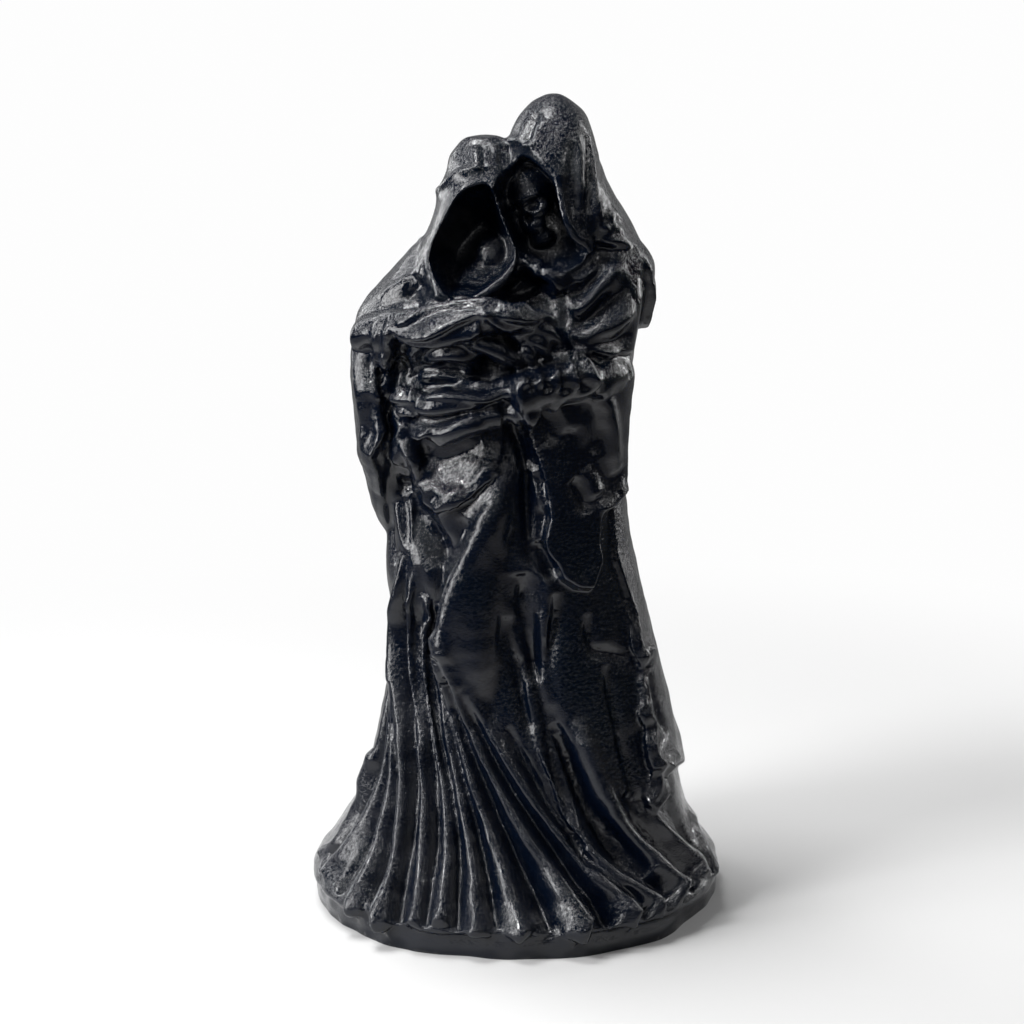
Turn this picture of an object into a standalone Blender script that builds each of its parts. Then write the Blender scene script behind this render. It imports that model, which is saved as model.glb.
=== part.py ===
"""Cast figurine of two hooded reapers in an embrace, on a low round base made in one with them.

Metres, +Z up. The front faces -Y, and the origin is the middle of the underside.
While they are modelled, the figures stand with z = 0 on the base's top.
"""

import math

import bmesh
import bpy
import numpy as np
from mathutils import Euler, Matrix, Vector
from mathutils.bvhtree import BVHTree

# Driving sizes
FIGURE_HEIGHT = 0.1945  # base's top to the tip of the tall figure's hood
BASE_RADIUS = 0.0500
BASE_HEIGHT = 0.0055
BASE_WAVE = 0.0006  # how far the base's edge wanders in and out
HEM_OVERHANG = 0.0008  # how far the robe's hem stands out over the base
CLAY_GRAIN = 0.0008  # size of the cells that the clay forms are fused with
TRIANGLES = 9400

# The pose and the carving are shares of the figures' height: one unit is a millimetre at the height above
UNIT = FIGURE_HEIGHT / 194.5

# Columns, as rows of height, left, right, front and back
ROBE = (
    (9.6, -45.2, 46.4, -43.5, 43.0),
    (15.0, -41.8, 43.6, -39.5, 39.0),
    (20.0, -39.3, 42.0, -37.0, 36.0),
    (31.0, -35.6, 39.6, -33.5, 32.0),
    (46.5, -32.4, 36.5, -30.5, 29.0),
    (57.0, -31.1, 34.0, -29.0, 27.0),
    (67.0, -30.8, 31.3, -28.0, 26.0),
    (82.0, -31.6, 28.0, -27.0, 25.0),
    (97.0, -31.0, 26.5, -25.5, 24.0),
    (112.0, -29.0, 25.5, -24.0, 23.5),
    (127.0, -28.0, 25.5, -22.5, 22.5),
    (142.0, -26.5, 26.5, -20.0, 21.0),
    (150.0, -23.0, 25.0, -16.0, 19.5),
    (158.0, -17.0, 22.0, -9.0, 17.0),
    (166.0, -12.0, 18.0, -4.0, 14.5),
    (173.0, -9.0, 13.0, 0.0, 12.0),
)
SMALL_TORSO = (
    (98.0, -20.0, 2.0, -10.0, 8.0),
    (104.0, -28.0, 4.0, -18.0, 16.0),
    (120.0, -33.5, 5.0, -21.0, 18.0),
    (132.0, -37.5, 5.0, -21.5, 18.5),
    (138.0, -38.8, 5.0, -21.0, 18.0),
    (143.0, -37.6, 4.0, -19.0, 17.0),
    (148.0, -34.0, 3.0, -16.5, 15.5),
    (153.0, -29.5, 2.0, -14.0, 14.0),
    (158.0, -25.0, 1.0, -12.0, 12.0),
    (162.0, -20.0, -2.0, -8.0, 10.0),
)
TALL_TORSO = (
    (92.0, 2.0, 18.0, -8.0, 10.0),
    (98.0, -4.0, 25.5, -17.0, 18.0),
    (118.0, -4.0, 27.5, -21.0, 21.0),
    (133.0, -3.0, 29.0, -21.5, 22.0),
    (141.0, -2.0, 30.6, -20.0, 22.0),
    (148.0, -1.0, 32.2, -18.0, 21.5),
    (153.5, 0.0, 32.0, -15.5, 20.5),
    (158.0, 1.0, 31.0, -13.5, 19.5),
    (162.5, 2.0, 28.8, -12.0, 18.5),
    (167.0, 3.5, 26.0, -10.0, 17.5),
    (172.0, 5.0, 23.4, -7.5, 15.0),
    (177.0, 7.0, 21.0, -4.5, 13.5),
    (182.0, 9.0, 19.0, -1.5, 11.0),
)
TALL_HOOD = (
    (145.0, 4.0, 19.0, -12.0, 15.0),
    (150.0, 0.0, 21.5, -17.0, 17.0),
    (156.0, -3.0, 22.3, -19.5, 18.0),
    (163.0, -5.0, 22.2, -19.5, 18.5),
    (170.0, -4.8, 21.8, -18.5, 18.5),
    (176.5, -3.6, 20.8, -16.8, 18.0),
    (182.0, -2.2, 19.5, -14.8, 16.5),
    (187.0, -0.6, 18.3, -12.0, 14.0),
    (190.5, 1.6, 16.6, -8.0, 11.0),
    (193.0, 4.2, 13.4, -4.0, 7.5),
    (194.5, 7.0, 10.6, -0.5, 4.0),
)
SMALL_HOOD = (
    (143.5, -19.0, -2.0, -16.0, 8.0),
    (147.0, -21.5, 0.0, -22.0, 11.0),
    (152.0, -23.2, 2.0, -25.0, 13.5),
    (157.0, -23.2, 2.6, -26.0, 15.0),
    (162.0, -21.4, 2.4, -26.0, 15.5),
    (167.0, -19.4, 2.0, -24.5, 15.0),
    (172.0, -18.0, 1.4, -21.5, 13.5),
    (177.0, -16.6, 1.0, -17.5, 11.0),
    (181.0, -15.6, 0.0, -13.0, 8.0),
    (183.8, -13.4, -2.0, -8.0, 4.0),
    (185.2, -11.4, -4.0, -6.0, 1.0),
)


def clear_scene():
    for obj in list(bpy.data.objects):
        bpy.data.objects.remove(obj, do_unlink=True)


def smooth_line(points, count):
    """Points on a Catmull-Rom curve through the given ones."""
    p = np.array(points, float)
    p = np.vstack([2 * p[0] - p[1], p, 2 * p[-1] - p[-2]])
    at = np.linspace(0, len(p) - 3, count)
    i = np.minimum(at.astype(int), len(p) - 4)
    t = (at - i)[:, None]
    a, b, c, d = p[i], p[i + 1], p[i + 2], p[i + 3]
    return 0.5 * (2 * b + (c - a) * t + (2 * a - 5 * b + 4 * c - d) * t**2 + (3 * b - 3 * c + d - a) * t**3)


def mesh_object(name, points, faces):
    mesh = bpy.data.meshes.new(name)
    mesh.from_pydata([tuple(p) for p in points], [], [tuple(f) for f in faces])
    mesh.update()
    obj = bpy.data.objects.new(name, mesh)
    bpy.context.scene.collection.objects.link(obj)
    return obj


def loft(name, rings):
    """Closed mesh over rings of equally many points, with a point in the middle of each end."""
    rings = np.asarray(rings, float)
    count, around = rings.shape[:2]
    points = np.vstack([rings.reshape(-1, 3), rings[0].mean(0), rings[-1].mean(0)])
    faces = []
    for k in range(around):
        n = (k + 1) % around
        faces.append((count * around, n, k))
        faces.append((count * around + 1, (count - 1) * around + k, (count - 1) * around + n))
        for r in range(count - 1):
            faces.append((r * around + k, r * around + n, (r + 1) * around + n, (r + 1) * around + k))
    return mesh_object(name, points, faces)


def oval(left, right, front, back, around, squareness=2.2):
    """Ring of x and y between four sides, counter-clockwise from +X."""
    turn = np.linspace(0, 2 * math.pi, around, endpoint=False)
    c, s = np.cos(turn), np.sin(turn)
    x = (left + right) / 2 + (right - left) / 2 * np.sign(c) * np.abs(c) ** (2 / squareness)
    y = (front + back) / 2 + (back - front) / 2 * np.sign(s) * np.abs(s) ** (2 / squareness)
    return x, y


def column(name, table, levels=60, around=96):
    """Loft through horizontal ovals."""
    rings = []
    for z, left, right, front, back in smooth_line(table, levels):
        x, y = oval(left, right, front, back, around)
        rings.append(np.stack([x, y, np.full(around, z)], 1) * UNIT)
    return loft(name, rings)


def robe():
    hem = (BASE_RADIUS + HEM_OVERHANG) / UNIT
    rows = [(0.2, 1.4 - hem, hem - 1.4, 1.4 - hem, hem - 1.4), (1.2, -hem, hem, -hem, hem)]
    rows += [(3.6, 1.0 - hem, hem, 2.2 - hem, hem - 1.8), (6.5, 3.6 - hem, hem - 2.4, 5.4 - hem, hem - 4.6)]
    return column("robe", tuple(rows) + ROBE, levels=120, around=240)


def base():
    around = 180
    turn = np.linspace(0, 2 * math.pi, around, endpoint=False)
    wave = BASE_WAVE * (np.sin(5 * turn + 0.6) + 0.6 * np.sin(9 * turn + 2.0) + 0.4 * np.sin(14 * turn))
    rings = []
    low, middle = -BASE_HEIGHT, -0.5 * BASE_HEIGHT
    steps = ((1.4 * low, 0), (low, 0), (middle, 0.0004), (0, 0), (0.0008, -0.002))
    for z, grow in steps:
        r = BASE_RADIUS + wave + grow
        rings.append(np.stack([r * np.cos(turn), r * np.sin(turn), np.full(around, z)], 1))
    return loft("base", rings)


def limb(name, path, heights, depths, count=40, around=32):
    """Tube along a path, with its own height and depth at each point of it, and round ends."""
    line = smooth_line(np.column_stack([np.array(path, float), heights, depths]), count)
    centre = line[:, :3]
    along = np.gradient(centre, axis=0)
    along /= np.linalg.norm(along, axis=1)[:, None]
    turn = np.linspace(0, 2 * math.pi, around, endpoint=False)
    upright = (1, 0, 0) if abs(centre[-1, 2] - centre[0, 2]) > 25 else (0, 0, 1)
    rings = []
    share = np.linspace(0, 1, count)
    blunt = np.sqrt(np.clip(1 - np.abs(2 * share - 1) ** 12, 0, 1)) * 0.999 + 0.001
    for k in range(count):
        side = np.cross(along[k], upright)
        side /= np.linalg.norm(side)
        up = np.cross(side, along[k])
        ring = centre[k] + blunt[k] * (
            np.outer(np.cos(turn) * line[k, 4], side) + np.outer(np.sin(turn) * line[k, 3], up)
        )
        rings.append(ring * UNIT)
    return loft(name, rings[::-1])


def front_cutter(name, outline, front, depth, lean):
    """Cutter with an outline of x and z at its mouth, narrowing to a rounded end depth further in."""
    mouth = smooth_line(list(outline) + [outline[0]], 65)[:-1]
    middle = mouth.mean(0)
    rings = []
    for t in (-0.5, 0.0, 0.25, 0.5, 0.7, 0.85, 0.95, 1.0):
        size = 1.0 if t <= 0 else math.sqrt(max(1 - t**2.4, 0.0004))
        x = middle[0] + lean[0] * t + (mouth[:, 0] - middle[0]) * size
        z = middle[1] + lean[1] * t + (mouth[:, 1] - middle[1]) * size
        rings.append(np.stack([x, np.full(len(x), front + depth * t), z], 1) * UNIT)
    cutter = loft(name, rings)
    bm = bmesh.new()
    bm.from_mesh(cutter.data)
    bmesh.ops.recalc_face_normals(bm, faces=bm.faces)
    bm.to_mesh(cutter.data)
    bm.free()
    cutter.hide_render = True
    cutter.display_type = "WIRE"
    return cutter


TALL_MOUTH = (
    (-2.5, 179.4), (-2, 181.1), (-0.8, 182.6), (1, 183.2), (2.1, 182.5), (5.4, 180), (8.7, 177),
    (9.6, 173.6), (10, 171), (11.1, 167), (12.5, 163.9), (14.7, 161.2), (16.9, 159.8), (16.3, 158.1),
    (14.7, 157.4), (11.9, 155.6), (8.1, 155.3), (3.7, 156.5), (1, 159), (-0.8, 163), (-3, 167.9),
    (-5.2, 171.9), (-5.1, 175.4), (-3.8, 178.1),
)
SMALL_MOUTH = (
    (-21.3, 161.5), (-19.8, 165.9), (-17.6, 169.8), (-15.5, 173.6), (-13.4, 176), (-10.3, 177.3),
    (-7.7, 178), (-6.4, 177.1), (-5.1, 173.8), (-3.8, 169.4), (-2.5, 165.4), (-1.2, 161.9), (-1.6, 158.4),
    (-4.3, 154.8), (-7.8, 151.9), (-11.3, 149.7), (-14.8, 149.3), (-17, 151.3), (-19.2, 154.8),
    (-21.3, 158.8),
)
# Outline, how far in front it starts, how deep it goes, and how far its end is moved in x and z
MOUTHS = {"tall mouth": (TALL_MOUTH, -19, 20, (3, -2)), "small mouth": (SMALL_MOUTH, -26, 24, (2.5, 2))}
# Centre, size and turn in degrees
SKULLS = {
    "tall skull": ((4.0, -6.5, 170.5), 8.6, (10, -22, -24)),
    "small skull": ((-6.0, -7.0, 156.0), 5.4, (16, 16, 28)),
}


def evaluated_copy(obj, name):
    graph = bpy.context.evaluated_depsgraph_get()
    mesh = bpy.data.meshes.new_from_object(obj.evaluated_get(graph))
    made = bpy.data.objects.new(name, mesh)
    bpy.context.scene.collection.objects.link(made)
    return made


def remove(*objects):
    for obj in objects:
        bpy.data.objects.remove(obj, do_unlink=True)


def fused(name, pieces, grain):
    """The pieces pressed into one closed skin of cells of that size."""
    bm = bmesh.new()
    for piece in pieces:
        bm.from_mesh(piece.data)
    mesh = bpy.data.meshes.new(name)
    bm.to_mesh(mesh)
    bm.free()
    lump = bpy.data.objects.new(name, mesh)
    bpy.context.scene.collection.objects.link(lump)
    skin = lump.modifiers.new("fuse", "REMESH")
    skin.mode = "VOXEL"
    skin.voxel_size = grain
    skin.use_smooth_shade = True
    even = lump.modifiers.new("even", "SMOOTH")
    even.factor = 0.5
    even.iterations = 3
    bpy.context.view_layer.update()
    made = evaluated_copy(lump, name)
    remove(lump, *pieces)
    return made


def cut(obj, cutter):
    hole = obj.modifiers.new("cut", "BOOLEAN")
    hole.operation = "DIFFERENCE"
    hole.object = cutter
    bpy.context.view_layer.update()
    made = evaluated_copy(obj, obj.name)
    remove(obj, cutter)
    return made


def ball(name, centre, radii, turn=(0, 0, 0)):
    """Ellipsoid, turned by degrees about x, y and z."""
    mesh = bpy.data.meshes.new(name)
    bm = bmesh.new()
    bmesh.ops.create_uvsphere(bm, u_segments=24, v_segments=14, radius=1)
    spin = Euler([math.radians(a) for a in turn]).to_matrix()
    place = Matrix.Translation(Vector(centre) * UNIT) @ spin.to_4x4()
    bmesh.ops.transform(bm, matrix=place @ Matrix.Diagonal((*(r * UNIT for r in radii), 1)), verts=bm.verts)
    bm.to_mesh(mesh)
    bm.free()
    obj = bpy.data.objects.new(name, mesh)
    bpy.context.scene.collection.objects.link(obj)
    return obj


def skull(name, centre, size, turn):
    """Bare skull that looks along -Y before it is turned, with the eyes and nose cut."""
    spin = Euler([math.radians(a) for a in turn]).to_matrix()

    def at(x, y, z):
        return Vector(centre) + spin @ Vector((x, y, z)) * size

    bones = [
        ball("brain case", at(0, 0.25, 0.35), (0.78 * size, 0.98 * size, 0.85 * size), turn),
        ball("cheeks", at(0, -0.42, -0.25), (0.62 * size, 0.42 * size, 0.36 * size), turn),
        ball("upper jaw", at(0, -0.55, -0.62), (0.36 * size, 0.34 * size, 0.34 * size), turn),
        ball("chin", at(0, -0.45, -1.08), (0.34 * size, 0.34 * size, 0.26 * size), turn),
        ball("brow", at(0, -0.55, 0.18), (0.58 * size, 0.26 * size, 0.16 * size), turn),
    ]
    bone = fused(name, bones, CLAY_GRAIN * 0.6)
    for x, z, wide, tall in ((-0.3, -0.06, 0.2, 0.2), (0.3, -0.06, 0.2, 0.2), (0, -0.38, 0.1, 0.16)):
        socket = ball("socket", at(x, -0.85, z), (wide * size, 0.4 * size, tall * size), turn)
        bone = cut(bone, socket)
    return bone


def fingers(name, roots, tips, lift, radius):
    """Bony fingers bent over at the knuckle."""
    made = []
    for k, (root, tip) in enumerate(zip(roots, tips)):
        a, b = np.array(root, float), np.array(tip, float)
        knuckle = a + 0.42 * (b - a) + np.array(lift)
        joint = a + 0.75 * (b - a) + 0.75 * np.array(lift)
        thick = (radius, radius * 1.2, radius * 0.95, radius * 0.85)
        made.append(limb("%s %d" % (name, k), (a, knuckle, joint, b), thick, thick, 16, 12))
    return made


# Balls of cloth: centre and radii
BALLS = {
    "chest cloth": ((-12, -12, 134), (19, 15.5, 17)),
    "tall shoulder": ((24, 0, 154), (9, 12, 8)),
}
# Arms, sleeves and the thigh: path, then thickness up or sideways, then thickness in depth
LIMBS = {
    "small forearm": (
        ((-36, -8, 139), (-31, -17, 140), (-22, -24, 142.5), (-12, -28, 145.5), (-2, -28.5, 146),
            (7, -26, 143.5)),
        (5, 5.5, 5.0, 4.4, 3.8, 2.6),
        (5, 6, 5.5, 5, 4.5, 3.0),
    ),
    "lower edge of the small sleeve": (
        ((-35, -14, 134), (-26, -22, 137), (-14, -27, 139), (-4, -28, 137.5), (2, -26, 134)),
        (3, 3.2, 3.0, 2.4, 1.6),
        (4, 4, 4, 3.5, 2),
    ),
    "middle of the small sleeve": (
        ((-30, -17, 137), (-22, -21.5, 137.5), (-12, -24, 139), (-3, -24.5, 138)),
        (5, 6, 6, 4),
        (5, 5.5, 5.5, 4),
    ),
    "tall forearm": (
        ((22.5, -9, 131.5), (18, -17, 131.5), (10, -23, 131), (0, -28, 128.6), (-12, -29, 126.6),
            (-24, -26, 124.5)),
        (5, 5, 4.6, 3.8, 3.6, 3.0),
        (6, 6, 5.5, 4.5, 4, 4),
    ),
    "lower edge of the tall sleeve": (
        ((4, -27, 124), (-6, -29, 122.5), (-16, -28, 120.5), (-25, -24, 119)),
        (2.6, 3.0, 3.2, 2.4),
        (3, 3.6, 3.6, 3),
    ),
    "thigh": (
        ((2, -12, 112), (-2, -15, 102), (-7, -18, 86), (-10, -20, 66), (-8.5, -20.5, 50), (-3, -20.5, 34)),
        (3.5, 6, 7.8, 8.8, 8.5, 7),
        (8, 9.5, 11, 11.5, 9.5, 8),
    ),
    "small hanging sleeve": (
        ((-34.5, -3, 141), (-34, -5, 125), (-32.5, -4, 110), (-30.5, -2, 97), (-28.5, 0, 86)),
        (5, 5.6, 5.6, 4.6, 2.5),
        (13, 15, 13.5, 10, 5),
    ),
    "fall of the tall hood": (
        ((15, -8, 176), (19, -6, 168), (23, -4, 160), (27, -3, 152)),
        (5, 5, 5, 4),
        (7, 8, 9, 8),
    ),
    "small wrist": (((-4, -27, 146), (0, -28, 144), (3.5, -27.5, 142)), (3.2, 3.2, 3.4), (2.4, 2.4, 2.2)),
}
# Roots, tips, how far the knuckles are lifted, and thickness
HANDS = {
    "tall finger": (
        ((-21, -27.5, 127.6), (-21, -27.5, 125.6), (-20, -27, 123.4)),
        ((-28.0, -24.5, 128.4), (-29.5, -23.5, 125.8), (-28, -23.5, 122.8)),
        (0, -1.4, 0.7),
        1.25,
    ),
    "small finger": (
        ((2, -27, 146), (3, -28, 144), (2.5, -28, 141.5), (1.0, -27, 139)),
        ((9.5, -24.5, 143.5), (10.5, -24.5, 138.5), (8.0, -25, 135.2), (4.0, -25.5, 133.6)),
        (0.8, -1.6, 1.2),
        1.4,
    ),
}


def forms():
    """Closed pieces of the two figures and their base, before the carving."""
    pieces = [robe(), base(), column("small torso", SMALL_TORSO), column("tall torso", TALL_TORSO)]
    pieces += [ball(name, *shape) for name, shape in BALLS.items()]
    pieces += [limb(name, *shape) for name, shape in LIMBS.items()]
    for name, hand in HANDS.items():
        pieces += fingers(name, *hand)
    return pieces


# Folds of the robe, left to right, as width and height at the hem and the ridge from the waist to the hem
SKIRT_RIDGES = (
    (2.0, 1.6, ((-29.3, 64.9), (-30.5, 50.1), (-33.5, 34.4), (-38.6, 20), (-44.5, 9.6), (-49.2, 4.1))),
    (2.2, 2.0, ((-29, 58.8), (-29.5, 45.7), (-31.5, 32.5), (-35.6, 20.6), (-40.6, 11.9), (-47.5, 3.3))),
    (2.2, 2.4, ((-28.2, 53.2), (-28.4, 41.4), (-29.5, 29.3), (-31.8, 19.4), (-35.3, 10.1), (-40.7, 0.6))),
    (3.0, 4.2, ((-28.6, 108), (-29.3, 96), (-29.4, 82.9), (-29.3, 67.9), (-28.4, 53.9), (-27.1, 38.9),
        (-26.5, 26.6), (-27.1, 17.4), (-29.3, 7.9), (-33.4, 0.6))),
    (2.2, 2.4, ((-25.8, 102), (-25.6, 84.8), (-25.2, 70.2), (-24.3, 54.5), (-22.9, 42.9), (-21.9, 28.5),
        (-21.9, 18.5), (-22.7, 9.2), (-24.2, 1.2))),
    (2.4, 2.6, ((-21.5, 66.9), (-20.5, 54.6), (-18.9, 44.8), (-17.2, 35.5), (-16.1, 25.6), (-15.8, 17),
        (-16.6, 8.8), (-18.4, 2))),
    (2.2, 2.4, ((-18.5, 63.5), (-17.5, 52.6), (-15.7, 42.4), (-13.7, 32.9), (-11.7, 23.3), (-10.1, 13.6),
        (-9.7, 6.1), (-9.9, 0.6))),
    (2.4, 2.6, ((-17.7, 63.6), (-15.2, 49.1), (-12.3, 39.3), (-9.2, 29.8), (-5.9, 20.3), (-2.4, 11.6),
        (0.1, 5.7), (2.6, 0.6))),
    (3.2, 4.0, ((-16.8, 63.8), (-11.8, 48.5), (-6.6, 37.1), (-2.2, 28.7), (2.9, 20.4), (8.2, 13.7),
        (12.8, 6.3), (17.6, 0.8))),
    (3.0, 3.4, ((-12.2, 56), (-5.9, 44.3), (0.1, 34.9), (6.5, 26.2), (12.1, 19.3), (18.1, 12.9),
        (24.5, 7.2), (30.2, 2))),
    (2.4, 2.4, ((3.3, 46.6), (7.5, 35.4), (12.2, 24.5), (17.8, 16.5), (24.6, 10.1), (31.7, 6.1),
        (36.4, 3))),
    (3.4, 3.6, ((15, 48), (18.1, 38.3), (21.4, 29.7), (25.7, 20.5), (31, 14.3), (36.8, 8.7), (41.9, 4.1))),
    (2.6, 2.2, ((31.9, 24.6), (35.7, 18.5), (39.9, 13.3), (44.4, 8.3), (47.4, 4.2))),
    (2.2, 1.6, ((41.5, 25.2), (44.4, 13.6), (47, 7.9), (49.4, 3.3))),
)
BACK_RIDGES = (
    (2.8, 2.2, ((-33, 60), (-36, 30), (-47, 2))),
    (3.4, 3.4, ((-28, 110), (-27, 70), (-30, 30), (-40, 2))),
    (2.6, 2.0, ((-22, 90), (-21, 75), (-24, 36), (-31, 2))),
    (3.6, 3.6, ((-15, 120), (-16, 70), (-17, 30), (-21, 2))),
    (2.4, 1.8, ((-9, 80), (-9, 70), (-9.5, 30), (-11, 2))),
    (3.4, 3.4, ((-2, 120), (-2, 60), (-1.5, 30), (0, 2))),
    (2.6, 2.0, ((5, 88), (6, 75), (7, 30), (11, 2))),
    (3.6, 3.6, ((10, 122), (11.5, 70), (14, 30), (20, 2))),
    (2.8, 2.4, ((18, 94), (19, 75), (22, 32), (31, 2))),
    (3.4, 3.2, ((23, 118), (25, 70), (29.5, 30), (39.5, 2))),
    (2.8, 2.2, ((28, 60), (35, 28), (46, 2))),
)
# Strokes of the front, as kind, width, height and the line's points of x and z
FRONT_STROKES = (
    ("groove", 1.8, -2.4, ((-2.3, 78), (0.2, 60), (4, 47.2), (8.9, 29), (16, 18))),
    ("groove", 1.5, -2.2, ((1.9, 84), (4, 63.4), (6.1, 42.9), (11.1, 24.8))),
    ("groove", 1.6, -2.0, ((7.5, 78), (8.6, 68), (11.8, 51.1), (14, 40))),
    ("ridge", 2.4, 1.2, ((0, 74), (2.4, 55), (6.6, 38), (12, 24))),
    ("groove", 3.6, -4.0, ((9, 52), (10.8, 43), (14.2, 32), (19.6, 22.4), (26, 14.6), (32.5, 9.4))),
    ("groove", 1.6, -1.4, ((17.3, 76), (18.4, 66), (22.8, 62))),
    ("groove", 1.4, -1.4, ((21.5, 60), (22.4, 50), (24.6, 44))),
    ("ridge", 3.6, 3.0, ((-4, 114), (-3.2, 108), (-5.2, 100), (-9.7, 92), (-13, 84), (-16.2, 74),
        (-18, 64))),
    ("groove", 2.6, -2.0, ((-7.5, 118), (-10, 108), (-16, 104), (-20, 108))),
    ("ridge", 2.4, 2.2, ((-28, 117), (-25.8, 108), (-22, 102.4), (-18, 100.6), (-13, 103), (-8.5, 107.4),
        (-5.2, 112))),
    ("ridge", 1.8, 1.4, ((-27, 110), (-24.3, 100), (-20.3, 92), (-16.6, 87))),
    ("groove", 2.2, -1.6, ((-24, 94), (-19, 82), (-17, 72))),
    ("groove", 2.4, -1.8, ((-17.5, 97), (-14, 90), (-15.5, 84))),
    ("ridge", 2.2, 1.6, ((-29.5, 112), (-28.5, 96), (-26, 84))),
    ("groove", 1.4, -1.6, ((-27.5, 118.5), (-18.9, 118.6), (-10.6, 121.6), (-4, 123.6), (-1, 121), (1, 112),
        (3, 104))),
    ("groove", 1.3, -1.6, ((-1.2, 131), (0.4, 124.5), (2.6, 115), (4.8, 106.6), (7.2, 95))),
    ("ridge", 1.5, 1.4, ((1.2, 131), (2.4, 124.5), (4.6, 115), (6.8, 106.6), (8.8, 96))),
    ("ridge", 2.2, 1.5, ((12.9, 131.7), (16.8, 125.3), (19.1, 116.9), (19.1, 106))),
    ("ridge", 2.0, 1.3, ((8, 130), (11.4, 122), (12.2, 113))),
    ("groove", 2.0, -1.6, ((10.2, 131), (13.8, 123), (15.4, 112), (15.2, 100))),
    ("groove", 1.8, -1.4, ((17, 132), (21, 125), (22.4, 115), (21.6, 104))),
    ("ridge", 1.8, 1.4, ((20, 134), (23.4, 127), (24.8, 118), (24.6, 106))),
    ("ridge", 1.6, 1.4, ((13.8, 140.5), (18, 146), (22.5, 152), (25.6, 156.6))),
    ("groove", 1.5, -1.6, ((13.5, 137.8), (18.4, 142.4), (24, 147.5), (28.5, 151))),
    ("ridge", 1.6, 1.5, ((14, 137.6), (20.3, 140.6), (27.6, 145.4), (31, 148))),
    ("groove", 1.5, -1.6, ((13.5, 135.8), (20, 138), (27, 140.6))),
    ("ridge", 1.3, 1.2, ((12.6, 135.4), (19.6, 136.4), (25, 133.4))),
    ("ridge", 1.2, 1.3, ((4.6, 133.4), (4, 128), (4.2, 122))),
    ("ridge", 1.2, 1.3, ((8.8, 134.6), (8.6, 129), (9, 121))),
    ("ridge", 1.2, 1.4, ((13.4, 136), (14, 130), (15, 122))),
    ("ridge", 1.2, 1.4, ((18.2, 136.4), (19.6, 130.5), (21, 122))),
    ("ridge", 1.2, 1.3, ((23, 135.4), (25, 130), (26.6, 121))),
    ("groove", 1.2, -1.8, ((12.4, 153), (13.4, 146), (12.8, 139.5), (12.2, 136))),
    ("ridge", 1.3, 1.2, ((6.5, 154.6), (9.7, 151.4), (10.8, 147), (10.8, 140.7))),
    ("ridge", 1.6, 1.0, ((-37.2, 142), (-37.6, 130), (-36.4, 116), (-34.8, 102))),
    ("groove", 1.4, -1.6, ((-35.4, 142), (-35.6, 130), (-34.6, 116), (-33.4, 103))),
    ("ridge", 1.5, 1.2, ((-33.8, 143), (-33.8, 130), (-33, 116), (-32, 104))),
    ("groove", 1.4, -1.8, ((-32, 143), (-32.4, 132), (-31.8, 118), (-30.6, 106))),
    ("groove", 1.5, -1.3, ((-25, 144.6), (-27.6, 150), (-28, 154))),
    ("ridge", 1.5, 1.3, ((-21, 150), (-24.4, 154), (-26, 158))),
    ("groove", 1.4, -1.4, ((-18, 149.4), (-21.6, 151), (-23.8, 156))),
    ("groove", 1.5, -1.6, ((-27, 139), (-20.4, 140.2), (-12.7, 143.2), (-6.5, 143.6), (-1.5, 141))),
    ("groove", 1.6, -1.6, ((-26, 136.2), (-19, 136.2), (-12, 137), (-5, 134.6))),
    ("ridge", 1.6, 1.3, ((-22, 132.6), (-19.8, 135), (-15, 136), (-9.8, 135), (-5, 132.6))),
    ("groove", 1.5, -1.5, ((-27, 131), (-20, 133.4), (-12, 133.2), (-3, 132.4))),
    ("groove", 1.3, -1.4, ((-27, 124.4), (-20, 124.8), (-12.8, 126), (-4, 127.6))),
    ("groove", 1.6, -1.6, ((-26.4, 119.6), (-18.8, 121.4), (-12.8, 123), (-4, 125.6))),
    ("groove", 1.8, -1.5, ((5.4, 191.6), (3.8, 188), (1.8, 184))),
    ("ridge", 1.8, 1.2, ((17.6, 187), (18, 180), (18.4, 173.5), (19.1, 168.3), (18.6, 163))),
    ("ridge", 1.3, 1.3, ((-3.4, 181.6), (-1.8, 184), (1, 184.8), (3.2, 184), (6.6, 181.4), (10, 178.2),
        (11, 174), (11.5, 171), (12.5, 167.4), (13.9, 164.9), (15.8, 162.6), (18, 161))),
    ("ridge", 1.3, 1.2, ((-22.4, 158.4), (-22.6, 161.5), (-21, 166.4), (-18.8, 170.6), (-16.6, 174.6),
        (-14, 177.2), (-10.6, 178.6), (-7.4, 179.4))),
    ("ridge", 1.3, 1.1, ((-0.2, 162.4), (-0.4, 158), (-3.2, 153.8), (-7, 150.8), (-11, 148.6),
        (-15.4, 148.2), (-18.2, 150.8), (-20.6, 154.6))),
    ("groove", 1.3, -1.0, ((-7.8, 184.4), (-7.6, 181.3), (-7.2, 179.6))),
    ("groove", 1.3, -1.0, ((-5.6, 184.1), (-5.3, 181.3), (-5.1, 179.8))),
)


# A stroke's line isn't followed where the skin behind it is further away than this, in units
DEPTH_JUMP = 6


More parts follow.
